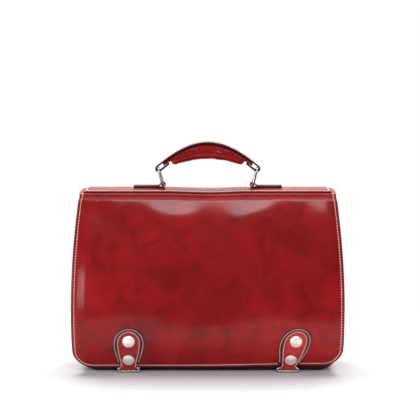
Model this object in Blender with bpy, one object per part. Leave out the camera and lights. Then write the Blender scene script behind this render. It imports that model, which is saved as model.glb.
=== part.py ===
"""A flap-over leather satchel with a padded top handle on two rings and two press-snap closure tabs.

Metres, +Z up, the front towards -Y. The origin is on the floor under the middle of the bag. Each body that
moves hangs from an empty on its joint's axis.
"""

import math

import bmesh
import bpy
import numpy as np
from mathutils import Vector

# Sheet thicknesses and the air between pieces
LEATHER = 0.0022
STRIP = 0.0015
PATCH = 0.0012
TAB = 0.0014
FACING = 0.0016
BOARD = 0.0016
LINING = 0.0008
DIVIDER = 0.0018
GAP = 0.0003

# Body: a front and a back panel on a U-shaped gusset
BODY_HEIGHT = 0.2585
BODY_HALF_BASE = 0.192
BODY_TAPER = 0.011
BODY_HALF_MOUTH = BODY_HALF_BASE - BODY_TAPER
BODY_CORNER = 0.030
BULGE_HEIGHT = 0.060
FRONT_BULGE = 0.05165
FRONT_LEAN = 0.0180
FRONT_TUCK = 0.0252
BACK_BULGE = 0.06445
BACK_LEAN = 0.0120
BACK_TUCK = 0.0200
CORNER_STEPS = 6
FACING_HEIGHT = 0.028
WALL_ROWS = (0.045, 0.060, 0.085, 0.115, 0.150, 0.190, BODY_HEIGHT - FACING_HEIGHT)

# Inside of the body
LINING_INSET = LEATHER + GAP + BOARD + GAP
FACING_SIDE_MARGIN = 0.005
BOARD_MARGIN = 0.008
DIVIDER_Y = 0.008
DIVIDER_DROP = 0.030
POCKET_WIDTH = 0.200
POCKET_HEIGHT = 0.125
POCKET_DEPTH = 0.012
POCKET_WALL = 0.0012
POCKET_DROP = 0.036

# Flap: back, top and front stretches of one leather, parted at the two lines where it bends
SNAP_SPACE = 0.0037
FLAP_STANDOFF = LEATHER + GAP + LINING + SNAP_SPACE
FLAP_END_LEVEL = 0.0110
FLAP_OVERHANG = 0.0080
FLAP_TOP_OVERHANG = 0.0065
FLAP_HALF_TOP = BODY_HALF_MOUTH + FLAP_TOP_OVERHANG
FLAP_HALF_WIDE = BODY_HALF_BASE + FLAP_OVERHANG
FLAP_WIDE_HEIGHT = 0.085
FLAP_CORNER = 0.029
FLAP_CURVED_ROW = 0.007
FLAP_CURVED_ROWS = 4
FLAP_ROWS = 6
FLAP_BACK_DROP = 0.050
BEND_CLEAR = 0.0014
LID_CLEAR = 0.0015
LINING_MARGIN = 0.007
STRIP_HALF = BODY_HALF_MOUTH
STRIP_MARGIN = 0.0028
BOARD_EDGE = 0.0045
LID_CROWN = 0.0022
LID_SPANS = 8
CURVE_STEPS = 400

# Closure tabs, their patches, studs and rings; a rise is a length up the flap's curve from its bottom edge
TAB_PLACE = {"left": -0.1165, "right": 0.1175}
TAB_LEAN = {"left": 0.02, "right": 0.24}
TAB_TOP = 0.0620
TAB_HALF = 0.0175
TAB_NECK_HALF = 0.0111
TAB_TAIL_END = 0.0280
TAB_TAIL_INSET = 0.0010
PATCH_TOP = 0.0660
PATCH_BOTTOM = 0.0078
PATCH_HALF = 0.0232
PATCH_NECK_HALF = 0.0155
NECK_RISE = 0.0020
WIDE_RISE = 0.0420
SNAP_RISE = 0.0467
RIVET_RISE = 0.0185
CAP_RADIUS = 0.0088
CAP_HEIGHT = 0.0028
CAP_RIM = 0.0008
SHANK_RADIUS = 0.0020
SOCKET_RADIUS = 0.0070
SOCKET_DEPTH = 0.0017
SOCKET_BORE = 0.0048
SOCKET_FLOOR = 0.0006
STUD_RADIUS = 0.0035
STUD_NECK = 0.0026
STUD_FLANGE = 0.0055
STUD_SHEET = 0.0005
STUD_REACH = 0.0016
STUD_LIP = 0.00087
STUD_LIP_EDGE = 0.00022
BURR_RADIUS = 0.0045
BURR = 0.0010
CURL_CLEAR = 0.0005
CLOSURE_WIRE = 0.0013
CLOSURE_RING_SPAN = 0.0302
CLOSURE_RING_DROP = 0.0046
CLOSURE_BAR_RISE = 0.0022
BAR_CLEAR = 0.0004
BAR_SWELL = 0.0035

# Handle, its rings and its mounts
STRAP_WIDTH = 0.020
MOUNT_X = 0.0670
MOUNT_TAIL_X = 0.1100
MOUNT_LAYER = 0.0016
MOUNT_SETTLE = 0.0120
RING_WIRE = 0.0019
RING_HEIGHT = 0.0250
RING_LEAN = math.radians(14.2)
RING_CLEAR = 0.0007
RING_SIDE_CLEAR = 0.0012
RING_CORNER = 0.0045
HANDLE_STRAP = 0.0026
HANDLE_RISE = 0.0726
HANDLE_END_SLOPE = math.radians(39)
HANDLE_TAIL = 0.0115
GRIP_HALF_LENGTH = 0.0555
GRIP_HEIGHT = 0.0245
GRIP_END_HEIGHT = 0.0140
GRIP_WIDTH = 0.0225
GRIP_END_WIDTH = 0.0180
GRIP_END_ROUND = 0.82
GRIP_SQUARENESS = 0.85
CORE_RADIUS = 0.0040

ROUND_SIDES = 16
WIRE_SIDES = 8
BEND_STEPS = 3
GRIP_SIDES = 14
SIDES = {"left": -1, "right": 1}

MATERIALS = {
    "red_leather": ((0.270, 0.012, 0.014), 0.38, 0.0),
    "tab_leather": ((0.400, 0.030, 0.030), 0.42, 0.0),
    "edge_leather": ((0.060, 0.008, 0.008), 0.50, 0.0),
    "suede_lining": ((0.420, 0.300, 0.190), 0.90, 0.0),
    "stiff_board": ((0.300, 0.220, 0.150), 0.85, 0.0),
    "grip_core": ((0.650, 0.600, 0.500), 0.90, 0.0),
    "nickel": ((0.780, 0.760, 0.720), 0.18, 1.0),
}


def clear_scene():
    for obj in list(bpy.data.objects):
        bpy.data.objects.remove(obj)


def make_material(name):
    colour, roughness, metallic = MATERIALS[name]
    material = bpy.data.materials.new(name)
    material.use_nodes = True
    shader = material.node_tree.nodes["Principled BSDF"]
    shader.inputs["Base Color"].default_value = (*colour, 1.0)
    shader.inputs["Roughness"].default_value = roughness
    shader.inputs["Metallic"].default_value = metallic
    material.diffuse_color = (*colour, 1.0)
    return material


class Body:
    """Pieces that move as one, parented to an empty on their joint's axis."""

    def __init__(self, name, pivot=(0.0, 0.0, 0.0), parent=None):
        self.pivot = Vector(pivot)
        self.empty = bpy.data.objects.new(name + "_axis", None)
        self.empty.location = self.pivot - (parent.pivot if parent else Vector())
        if parent:
            self.empty.parent = parent.empty
        bpy.context.scene.collection.objects.link(self.empty)

    def add(self, name, loops, material, closed=False):
        """Links the solid skinned over a row of equal loops, its two ends capped unless the row is closed."""
        mesh = bpy.data.meshes.new(name)
        shape = bmesh.new()
        rows = [[shape.verts.new(Vector(p) - self.pivot) for p in loop] for loop in loops]
        pairs = list(zip(rows, rows[1:]))
        if closed:
            pairs.append((rows[-1], rows[0]))
        else:
            shape.faces.new(rows[0])
            shape.faces.new(rows[-1])
        for near, far in pairs:
            for k in range(len(near)):
                j = (k + 1) % len(near)
                shape.faces.new((near[k], near[j], far[j], far[k]))
        bmesh.ops.recalc_face_normals(shape, faces=shape.faces)
        shape.to_mesh(mesh)
        shape.free()
        mesh.shade_smooth()
        mesh.set_sharp_from_angle(angle=math.radians(35))
        obj = bpy.data.objects.new(name, mesh)
        obj.parent = self.empty
        bpy.context.scene.collection.objects.link(obj)
        obj.data.materials.append(make_material(material))
        return obj


def cut(obj, *cutters):
    for cutter in cutters:
        hole = obj.modifiers.new("hole", "BOOLEAN")
        hole.operation = "DIFFERENCE"
        hole.solver = "EXACT"
        hole.object = cutter


def hide_cutter(obj):
    obj.hide_render = True
    obj.display_type = "WIRE"
    return obj


# Shapes of the bag ----------------------------------------------------------------------------------------


def smoothstep(t):
    t = min(max(t, 0.0), 1.0)
    return t * t * (3 - 2 * t)


def draw_in(z, lean, tuck):
    """How far a wall stands behind its fullest line at height z."""
    if z > BULGE_HEIGHT:
        return lean * ((z - BULGE_HEIGHT) / (BODY_HEIGHT - BULGE_HEIGHT)) ** 2
    return tuck * ((BULGE_HEIGHT - z) / BULGE_HEIGHT) ** 2


def front_y(z):
    return -FRONT_BULGE + draw_in(z, FRONT_LEAN, FRONT_TUCK)


def back_y(z):
    return BACK_BULGE - draw_in(z, BACK_LEAN, BACK_TUCK)


def front_normal(level):
    """The outward normal of the body's front at a height."""
    if level > BULGE_HEIGHT:
        slope = 2 * FRONT_LEAN * (level - BULGE_HEIGHT) / (BODY_HEIGHT - BULGE_HEIGHT) ** 2
    else:
        slope = -2 * FRONT_TUCK * (BULGE_HEIGHT - level) / BULGE_HEIGHT**2
    return Vector((0.0, -1.0, slope)).normalized()


def front_point(level, offset):
    return Vector((0.0, front_y(level), level)) + front_normal(level) * offset


def corner_loss(height, radius, inset):
    """What an inset and a rounded corner take off a half width, at a height over the bottom edge."""
    if height >= radius:
        return inset
    return radius - math.sqrt(max((radius - inset) ** 2 - (radius - height) ** 2, 0.0))


def corner_rows(radius, inset=0.0):
    turns = [math.pi / 2 * k / CORNER_STEPS for k in range(CORNER_STEPS + 1)]
    return [radius - (radius - inset) * math.cos(turn) for turn in turns]


def body_half(z, inset=0.0):
    side = BODY_HALF_BASE + (BODY_HALF_MOUTH - BODY_HALF_BASE) * z / BODY_HEIGHT
    return side - corner_loss(z, BODY_CORNER, inset)


def body_rows(top, inset=0.0):
    walls = [z for z in WALL_ROWS if BODY_CORNER < z < top - BEND_CLEAR]
    return corner_rows(BODY_CORNER, inset) + walls + [top]


TOP_OUTER = BODY_HEIGHT + LID_CLEAR + LINING + GAP + BOARD + GAP + LEATHER
BEND_HEIGHT = TOP_OUTER - LEATHER / 2
LEVELS = np.linspace(FLAP_END_LEVEL, BEND_HEIGHT + FLAP_STANDOFF, CURVE_STEPS)
OUTER_CURVE = np.array([front_point(level, FLAP_STANDOFF) for level in LEVELS])
RISES = np.concatenate([[0.0], np.cumsum(np.linalg.norm(np.diff(OUTER_CURVE, axis=0), axis=1))])


def flap_normal(rise):
    return front_normal(float(np.interp(rise, RISES, LEVELS)))


def flap_up(rise):
    normal = flap_normal(rise)
    return Vector((0.0, normal.z, -normal.y))


def flap_point(rise, lift, x=0.0):
    """The point lift proud of the flap's outer face; below the bottom edge the curve goes on straight."""
    level = float(np.interp(rise, RISES, LEVELS))
    point = front_point(level, FLAP_STANDOFF + lift) + flap_up(rise) * min(rise, 0.0)
    return point + Vector((x, 0.0, 0.0))


MIDDLE_HEIGHTS = [front_point(level, FLAP_STANDOFF - LEATHER / 2).z for level in LEVELS]
BEND_RISE = float(np.interp(BEND_HEIGHT, MIDDLE_HEIGHTS, RISES))
FRONT_BEND = flap_point(BEND_RISE, -LEATHER / 2)
REAR_BEND = Vector((0.0, back_y(BEND_HEIGHT) + GAP + LEATHER / 2, BEND_HEIGHT))


def flap_half(rise, inset=0.0):
    spread = (flap_point(rise, 0.0).z - FLAP_WIDE_HEIGHT) / (TOP_OUTER - FLAP_WIDE_HEIGHT)
    side = FLAP_HALF_WIDE - (FLAP_HALF_WIDE - FLAP_HALF_TOP) * spread**2
    return side - corner_loss(rise, FLAP_CORNER, inset)


def flap_rows(top, inset=0.0):
    """Rises of the flap's rows: close where it curls under, wide apart above."""
    curved = [FLAP_CORNER + FLAP_CURVED_ROW * k for k in range(1, FLAP_CURVED_ROWS + 1)]
    last = curved[-1]
    flat = [last + (top - last) * k / FLAP_ROWS for k in range(1, FLAP_ROWS + 1)]
    return corner_rows(FLAP_CORNER, inset) + curved + flat


def sheet_loops(rows, half, outer, inner):
    """Four-cornered loops of a sheet that is straight across X."""
    loops = []
    for row in rows:
        h = half(row)
        a, b = outer(row), inner(row)
        loops.append([(-h, a.y, a.z), (h, a.y, a.z), (h, b.y, b.z), (-h, b.y, b.z)])
    return loops


def slab_loops(half, near, far, low, high):
    return [[(x, near, low), (x, far, low), (x, far, high), (x, near, high)] for x in (-half, half)]


def lid_rise(y):
    """How far the lid is arched up at a place between its two bends."""
    middle = (FRONT_BEND.y + REAR_BEND.y) / 2
    reach = (REAR_BEND.y - FRONT_BEND.y) / 2
    return LID_CROWN * (1 - ((y - middle) / reach) ** 2)


def lid_loops(half, near, far, low, high):
    """An arched slab across the lid, between two heights at the bends."""
    across = [near + (far - near) * k / LID_SPANS for k in range(LID_SPANS + 1)]
    below = [(y, low + lid_rise(y)) for y in across]
    above = [(y, high + lid_rise(y)) for y in across[::-1]]
    return [[(x, y, z) for y, z in below + above] for x in (-half, half)]


def ribbon_sides(path, thickness):
    """The two faces of a strip of even thickness that follows a flat path."""
    path = np.array(path)
    along = np.gradient(path, axis=0)
    along /= np.linalg.norm(along, axis=1)[:, None]
    across = np.column_stack([-along[:, 1], along[:, 0]]) * thickness / 2
    return path + across, path - across


def turned_loops(origin, axis, profile, sides=ROUND_SIDES):
    """Circles round an axis; the profile holds (radius, height) pairs."""
    axis = Vector(axis).normalized()
    across = axis.orthogonal().normalized()
    third = axis.cross(across)
    turns = [2 * math.pi * k / sides for k in range(sides)]
    rims = [across * math.cos(turn) + third * math.sin(turn) for turn in turns]
    return [[origin + axis * height + rim * radius for rim in rims] for radius, height in profile]


def wire_loops(centre, side, up, half_span, half_height, corner, wire):
    """A round wire bent to a rectangle with round corners."""
    side, up = Vector(side), Vector(up)
    face = side.cross(up)
    loops = []
    for quarter, signs in enumerate(((1, 1), (-1, 1), (-1, -1), (1, -1))):
        heart = (signs[0] * (half_span - corner), signs[1] * (half_height - corner))
        for step in range(BEND_STEPS + 1):
            angle = math.pi / 2 * (quarter + step / BEND_STEPS)
            out = side * math.cos(angle) + up * math.sin(angle)
            middle = centre + side * heart[0] + up * heart[1] + out * corner
            spots = [2 * math.pi * k / WIRE_SIDES for k in range(WIRE_SIDES)]
            loops.append([middle + (out * math.cos(a) + face * math.sin(a)) * wire for a in spots])
    return loops


# The body: panels, gusset, lining and what is inside ------------------------------------------------------


def panel_loops(surface, inward, z_rows, near, far, half):
    return sheet_loops(
        z_rows,
        half,
        lambda z: Vector((0.0, surface(z) + inward * near, z)),
        lambda z: Vector((0.0, surface(z) + inward * far, z)),
    )


def build_shell(body, stud_holes):
    rows = body_rows(BODY_HEIGHT)
    front = body.add("front_panel", panel_loops(front_y, 1, rows, 0, LEATHER, body_half), "red_leather")
    cut(front, *stud_holes)
    body.add("back_panel", panel_loops(back_y, -1, rows, 0, LEATHER, body_half), "red_leather")
    seam = LEATHER + GAP
    for name, sign in SIDES.items():
        loops = []
        for outer_z, inner_z in zip(body_rows(BODY_HEIGHT), body_rows(BODY_HEIGHT, LEATHER)):
            outer_x = sign * body_half(outer_z)
            inner_x = sign * body_half(inner_z, LEATHER)
            loops.append(
                [
                    (outer_x, front_y(outer_z) + seam, outer_z),
                    (outer_x, back_y(outer_z) - seam, outer_z),
                    (inner_x, back_y(inner_z) - seam, inner_z),
                    (inner_x, front_y(inner_z) + seam, inner_z),
                ]
            )
        body.add("gusset_" + name, loops, "red_leather")
    base_half = BODY_HALF_BASE - BODY_CORNER - GAP
    loops = []
    for x in (-base_half, base_half):
        low = [(x, front_y(0) + seam, 0.0), (x, back_y(0) - seam, 0.0)]
        high = [(x, back_y(LEATHER) - seam, LEATHER), (x, front_y(LEATHER) + seam, LEATHER)]
        loops.append(low + high)
    body.add("gusset_base", loops, "red_leather")


def build_inside(body):
    lining_top = BODY_HEIGHT - FACING_HEIGHT

    def tub(z, inset):
        h = body_half(z, inset)
        near, far = front_y(z) + inset, back_y(z) - inset
        return [(-h, near, z), (h, near, z), (h, far, z), (-h, far, z)]

    outer = [tub(z, LINING_INSET) for z in body_rows(lining_top, LINING_INSET)]
    thick = LINING_INSET + LINING
    inner = [tub(z, thick) for z in body_rows(lining_top, thick)]
    body.add("lining", outer + inner[::-1], "suede_lining")

    board_low = LEATHER + GAP
    board_half = BODY_HALF_BASE - BODY_CORNER - BOARD_MARGIN
    near, far = front_y(0) + BOARD_MARGIN, back_y(0) - BOARD_MARGIN
    body.add("base_board", slab_loops(board_half, near, far, board_low, board_low + BOARD), "stiff_board")

    facing_near = LEATHER + GAP
    rows = [lining_top + GAP, BODY_HEIGHT]
    for name, surface, inward in (("front", front_y, 1), ("back", back_y, -1)):
        loops = panel_loops(
            surface,
            inward,
            rows,
            facing_near,
            facing_near + FACING,
            lambda z: body_half(z, FACING_SIDE_MARGIN),
        )
        body.add("facing_" + name, loops, "tab_leather")

    divider_inset = thick + 2 * GAP
    rows = body_rows(BODY_HEIGHT - DIVIDER_DROP, divider_inset)
    loops = sheet_loops(
        rows,
        lambda z: body_half(z, divider_inset),
        lambda z: Vector((0.0, DIVIDER_Y - DIVIDER / 2, z)),
        lambda z: Vector((0.0, DIVIDER_Y + DIVIDER / 2, z)),
    )
    body.add("divider", loops, "suede_lining")

    top = BODY_HEIGHT - POCKET_DROP
    low = top - POCKET_HEIGHT
    far = back_y(top) - thick - 2 * GAP

    def tray(z, inset):
        h = POCKET_WIDTH / 2 - inset
        return [
            (-h, far - POCKET_DEPTH + inset, z),
            (h, far - POCKET_DEPTH + inset, z),
            (h, far - inset, z),
            (-h, far - inset, z),
        ]

    loops = [tray(low, 0), tray(top, 0), tray(top, POCKET_WALL), tray(low + POCKET_WALL, POCKET_WALL)]
    body.add("inner_pocket", loops, "suede_lining")


def build_flap_back(body):
    top = REAR_BEND.z - BEND_CLEAR
    rows = [top - FLAP_BACK_DROP * k / 3 for k in (3, 2, 1, 0)]
    loops = panel_loops(back_y, 1, rows, GAP, GAP + LEATHER, lambda z: FLAP_HALF_TOP)
    body.add("flap_back", loops, "red_leather")


# The flap -------------------------------------------------------------------------------------------------


def build_lid(lid):
    near, far = FRONT_BEND.y + BEND_CLEAR, REAR_BEND.y - BEND_CLEAR
    bottom = TOP_OUTER - LEATHER
    lid.add("flap_top", lid_loops(FLAP_HALF_TOP, near, far, bottom, TOP_OUTER), "red_leather")
    board_high = bottom - GAP
    board_low = board_high - BOARD
    board = (near + BOARD_EDGE, far - BOARD_EDGE)
    lid.add("top_board", lid_loops(STRIP_HALF - BOARD_EDGE, *board, board_low, board_high), "stiff_board")
    cover_high = board_low - GAP
    cover = (near + STRIP_MARGIN, far - STRIP_MARGIN)
    lid.add("top_lining", lid_loops(STRIP_HALF, *cover, cover_high - LINING, cover_high), "suede_lining")
    strip_low = TOP_OUTER + GAP
    strip = (FRONT_BEND.y + STRIP_MARGIN, REAR_BEND.y - STRIP_MARGIN)
    lid.add("top_strip", lid_loops(STRIP_HALF, *strip, strip_low, strip_low + STRIP), "red_leather")


def build_flap_front(flap, holes):
    top = BEND_RISE - BEND_CLEAR
    loops = sheet_loops(
        flap_rows(top),
        flap_half,
        lambda rise: flap_point(rise, 0.0),
        lambda rise: flap_point(rise, -LEATHER),
    )
    cut(flap.add("flap_front", loops, "red_leather"), *holes)
    loops = sheet_loops(
        flap_rows(top - LINING_MARGIN, LINING_MARGIN),
        lambda rise: flap_half(rise, LINING_MARGIN),
        lambda rise: flap_point(rise, -LEATHER - GAP),
        lambda rise: flap_point(rise, -LEATHER - GAP - LINING),
    )
    cut(flap.add("flap_lining", loops, "suede_lining"), *holes)


# The closures ---------------------------------------------------------------------------------------------

PATCH_FACE = GAP + PATCH
TAIL_LIFT = PATCH_FACE + GAP + TAB / 2
FRONT_LIFT = TAIL_LIFT + TAB + GAP
TAB_BEND = CLOSURE_WIRE + BAR_CLEAR + TAB / 2
BAR_LIFT = TAB_BEND + TAB / 2 + GAP
FLAP_BACK_FACE = -LEATHER - GAP - LINING


def tab_x(name, rise):
    return TAB_PLACE[name] + TAB_LEAN[name] * max(rise, 0.0)


def teardrop(rise, top, half, neck_half):
    """Half the width of a tab that is round at the top and narrows to a neck."""
    down = top - rise
    if down < half:
        return math.sqrt(half**2 - (half - down) ** 2)
    return neck_half + (half - neck_half) * smoothstep((rise - NECK_RISE) / (WIDE_RISE - NECK_RISE))


def teardrop_rises(top, half, bottom, steps):
    crown = [top - half * (1 - math.cos(math.radians(turn))) for turn in (15, 35, 55, 75, 90)]
    below = [crown[-1] + (bottom - crown[-1]) * k / steps for k in range(1, steps + 1)]
    return crown + below


def build_patch(flap, name, holes):
    loops = []
    for rise in teardrop_rises(PATCH_TOP, PATCH_HALF, PATCH_BOTTOM, 5):
        h = teardrop(rise, PATCH_TOP, PATCH_HALF, PATCH_NECK_HALF)
        x = tab_x(name, rise)
        spots = ((-h, PATCH_FACE), (h, PATCH_FACE), (h, GAP), (-h, GAP))
        loops.append([flap_point(rise, lift, x + dx) for dx, lift in spots])
    cut(flap.add("closure_patch_" + name, loops, "edge_leather"), *holes)


def closure_bar(name):
    return flap_point(CLOSURE_BAR_RISE, BAR_LIFT, tab_x(name, CLOSURE_BAR_RISE))


def tab_front_lift(rise):
    """The tab rests on its patch above, on its own tail lower down, and swells over the ring's bar."""
    over_tail = smoothstep((TAB_TAIL_END + 3 * TAB - rise) / (2 * TAB))
    over_bar = 1 - smoothstep((rise - CLOSURE_BAR_RISE) / BAR_SWELL)
    lift = TAIL_LIFT + (FRONT_LIFT - TAIL_LIFT) * over_tail
    return lift + (BAR_LIFT + TAB_BEND - FRONT_LIFT) * over_bar


def build_tab(flap, name, holes):
    """One strip: down the front, round the ring's bar, and back up behind itself."""
    path, halves, centres = [], [], []

    def station(point, rise, inset=0.0):
        path.append((point.y, point.z))
        halves.append(teardrop(rise, TAB_TOP, TAB_HALF, TAB_NECK_HALF) - inset)
        centres.append(tab_x(name, rise))

    for rise in teardrop_rises(TAB_TOP, TAB_HALF, CLOSURE_BAR_RISE + BAR_SWELL, 8):
        station(flap_point(rise, tab_front_lift(rise)), rise)
    bar = closure_bar(name)
    out, down = flap_normal(CLOSURE_BAR_RISE), -flap_up(CLOSURE_BAR_RISE)
    for turn in (0, 30, 60, 90, 120, 150, 180):
        angle = math.radians(turn)
        station(bar + (out * math.cos(angle) + down * math.sin(angle)) * TAB_BEND, CLOSURE_BAR_RISE)
    tail_rows = (PATCH_BOTTOM - TAB, PATCH_BOTTOM + TAB, TAB_TAIL_END / 2, TAB_TAIL_END)
    for rise in tail_rows:
        station(flap_point(rise, TAIL_LIFT), rise, TAB_TAIL_INSET)
    outer, inner = ribbon_sides(path, TAB)
    loops = []
    for (ya, za), (yb, zb), h, x in zip(outer, inner, halves, centres):
        loops.append([(x - h, ya, za), (x + h, ya, za), (x + h, yb, zb), (x - h, yb, zb)])
    cut(flap.add("closure_tab_" + name, loops, "tab_leather"), *holes)


def domed_cap(seat, end):
    """The profile of a cap that sits on the leather at a height, with its shank down to end."""
    dome = []
    for turn in (0, 25, 50, 72):
        angle = math.radians(turn)
        rise = CAP_RIM + (CAP_HEIGHT - CAP_RIM) * math.sin(angle)
        dome.append((CAP_RADIUS * math.cos(angle), seat + rise))
    return [(SHANK_RADIUS, end), (SHANK_RADIUS, seat), (CAP_RADIUS, seat)] + dome


def build_studs(body, flap, name):
    """The two caps on a tab, what holds them behind the flap, and the snap's stud on the body."""
    snap = flap_point(SNAP_RISE, 0.0, tab_x(name, SNAP_RISE))
    snap_axis = flap_normal(SNAP_RISE)
    shank_end = FLAP_BACK_FACE - CURL_CLEAR
    cap = domed_cap(TAIL_LIFT + TAB / 2 + GAP, shank_end)
    flap.add("snap_cap_" + name, turned_loops(snap, snap_axis, cap), "nickel")
    seat = shank_end - GAP
    socket = [
        (SOCKET_RADIUS, seat),
        (SOCKET_RADIUS, seat - SOCKET_DEPTH),
        (SOCKET_BORE, seat - SOCKET_DEPTH),
        (SOCKET_BORE, seat - SOCKET_FLOOR),
    ]
    flap.add("snap_socket_" + name, turned_loops(snap, snap_axis, socket), "nickel")
    face = -FLAP_STANDOFF
    flange = face + GAP
    head = flange + STUD_REACH
    stud = [
        (SHANK_RADIUS, face - LEATHER - CURL_CLEAR),
        (SHANK_RADIUS, flange),
        (STUD_FLANGE, flange),
        (STUD_FLANGE, flange + STUD_SHEET),
        (STUD_NECK, flange + STUD_SHEET),
        (STUD_NECK, head - STUD_LIP),
        (STUD_RADIUS, head - STUD_LIP + STUD_LIP_EDGE),
        (STUD_NECK, head),
    ]
    body.add("snap_stud_" + name, turned_loops(snap, snap_axis, stud), "nickel")
    post = face - LEATHER - CURL_CLEAR - GAP
    disc = [(STUD_FLANGE, post), (STUD_FLANGE, post - BURR)]
    body.add("snap_post_" + name, turned_loops(snap, snap_axis, disc), "nickel")

    rivet = flap_point(RIVET_RISE, 0.0, tab_x(name, RIVET_RISE))
    rivet_axis = flap_normal(RIVET_RISE)
    seat = tab_front_lift(RIVET_RISE) + TAB / 2 + GAP
    flap.add("tab_rivet_" + name, turned_loops(rivet, rivet_axis, domed_cap(seat, shank_end)), "nickel")
    seat = shank_end - GAP
    disc = [(BURR_RADIUS, seat), (BURR_RADIUS, seat - BURR)]
    flap.add("tab_burr_" + name, turned_loops(rivet, rivet_axis, disc), "nickel")


def hole_cutter(owner, name, rise, side, low, high):
    origin = flap_point(rise, 0.0, tab_x(side, rise))
    profile = [(SHANK_RADIUS + GAP, low), (SHANK_RADIUS + GAP, high)]
    loops = turned_loops(origin, flap_normal(rise), profile, 12)
    return hide_cutter(owner.add(name + "_" + side, loops, "nickel"))


def build_closures(body, flap):
    """Returns the holes that the flap and the front panel need."""
    flap_holes, stud_holes = [], []
    past = 2 * LEATHER
    for name in SIDES:
        low, high = FLAP_BACK_FACE - past, FRONT_LIFT + past
        pair = [
            hole_cutter(flap, "snap_hole", SNAP_RISE, name, low, high),
            hole_cutter(flap, "rivet_hole", RIVET_RISE, name, low, high),
        ]
        low, high = -FLAP_STANDOFF - past, -FLAP_STANDOFF + GAP
        stud_holes.append(hole_cutter(body, "stud_hole", SNAP_RISE, name, low, high))
        flap_holes += pair
        build_patch(flap, name, pair)
        build_tab(flap, name, pair)
        build_studs(body, flap, name)
    return flap_holes, stud_holes


def build_closure_rings(flap):
    for name in SIDES:
        bar = closure_bar(name)
        ring = Body("closure_ring_" + name, bar, flap)
        centre = bar - Vector((0.0, 0.0, CLOSURE_RING_DROP / 2))
        loops = wire_loops(
            centre,
            (1, 0, 0),
            (0, 0, 1),
            CLOSURE_RING_SPAN / 2,
            CLOSURE_RING_DROP / 2,
            CLOSURE_WIRE + BAR_CLEAR,
            CLOSURE_WIRE,
        )
        ring.add("closure_ring_" + name, loops, "nickel", closed=True)


# The handle -----------------------------------------------------------------------------------------------

HANDLE_Y = (FRONT_BEND.y + REAR_BEND.y) / 2
MOUNT_SEAT = TOP_OUTER + LID_CROWN + GAP + STRIP + GAP
MOUNT_BEND = RING_WIRE + RING_CLEAR + MOUNT_LAYER / 2
MOUNT_BAR = MOUNT_SEAT + MOUNT_LAYER / 2 + MOUNT_BEND
HANDLE_BEND = RING_WIRE + RING_CLEAR + HANDLE_STRAP / 2
HANDLE_BAR_X = MOUNT_X + RING_HEIGHT * math.sin(RING_LEAN)
HANDLE_BAR_Z = MOUNT_BAR + RING_HEIGHT * math.cos(RING_LEAN)
HANDLE_TOP = TOP_OUTER + HANDLE_RISE


def ring_pivot(name):
    return Vector((SIDES[name] * MOUNT_X, HANDLE_Y, MOUNT_BAR))


def across_y(path, thickness, width):
    """Loops of a strip that follows a path in XZ and is straight across Y."""
    near, far = HANDLE_Y - width / 2, HANDLE_Y + width / 2
    loops = []
    for (xa, za), (xb, zb) in zip(*ribbon_sides(path, thickness)):
        loops.append([(xa, near, za), (xa, far, za), (xb, far, zb), (xb, near, zb)])
    return loops


def build_mounts(lid):
    for name, sign in SIDES.items():
        low = MOUNT_SEAT + MOUNT_LAYER / 2
        high = low + MOUNT_LAYER + GAP
        path = [(MOUNT_TAIL_X, low), ((MOUNT_TAIL_X + MOUNT_X) / 2, low)]
        for turn in range(0, 181, 30):
            angle = math.radians(turn)
            x = MOUNT_X - MOUNT_BEND * math.sin(angle)
            path.append((x, MOUNT_BAR - MOUNT_BEND * math.cos(angle)))
        crest = path[-1][1]
        for step in (1, 2, 3, 4):
            share = step / 4
            path.append((MOUNT_X + MOUNT_SETTLE * share, crest + (high - crest) * smoothstep(share)))
        path.append((MOUNT_TAIL_X, high))
        path = [(sign * x, z) for x, z in path]
        lid.add("handle_mount_" + name, across_y(path, MOUNT_LAYER, STRAP_WIDTH), "tab_leather")


def ring_loops(name):
    up = Vector((SIDES[name] * math.sin(RING_LEAN), 0.0, math.cos(RING_LEAN)))
    half_span = STRAP_WIDTH / 2 + RING_SIDE_CLEAR + RING_WIRE
    centre = ring_pivot(name) + up * RING_HEIGHT / 2
    return wire_loops(centre, (0, 1, 0), up, half_span, RING_HEIGHT / 2, RING_CORNER, RING_WIRE)


END_X = HANDLE_BAR_X + HANDLE_BEND * math.sin(HANDLE_END_SLOPE)
END_DROP = HANDLE_TOP - HANDLE_STRAP / 2 - HANDLE_BAR_Z - HANDLE_BEND * math.cos(HANDLE_END_SLOPE)
ARCH_FOURTH = (math.tan(HANDLE_END_SLOPE) * END_X - 2 * END_DROP) / (2 * END_X**4)
ARCH_SECOND = END_DROP / END_X**2 - ARCH_FOURTH * END_X**2


def arch_height(x):
    """The middle of the handle strap, level at the top and at the end slope where it meets the ring's bar."""
    return HANDLE_TOP - HANDLE_STRAP / 2 - ARCH_SECOND * x**2 - ARCH_FOURTH * x**4


def arch_slope(x):
    return math.atan(2 * ARCH_SECOND * x + 4 * ARCH_FOURTH * x**3)


def build_strap(handle):
    half = []
    steps = 9
    for k in range(steps):
        x = END_X * k / steps
        half.append((x, arch_height(x)))
    for turn in range(0, 181, 30):
        angle = HANDLE_END_SLOPE + math.radians(turn)
        x = HANDLE_BAR_X + HANDLE_BEND * math.sin(angle)
        half.append((x, HANDLE_BAR_Z + HANDLE_BEND * math.cos(angle)))
    x, z = half[-1]
    x -= HANDLE_TAIL * math.cos(HANDLE_END_SLOPE)
    half.append((x, z + HANDLE_TAIL * math.sin(HANDLE_END_SLOPE)))
    path = [(-x, z) for x, z in half[:0:-1]] + half
    handle.add("handle_strap", across_y(path, HANDLE_STRAP, STRAP_WIDTH), "tab_leather")


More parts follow.
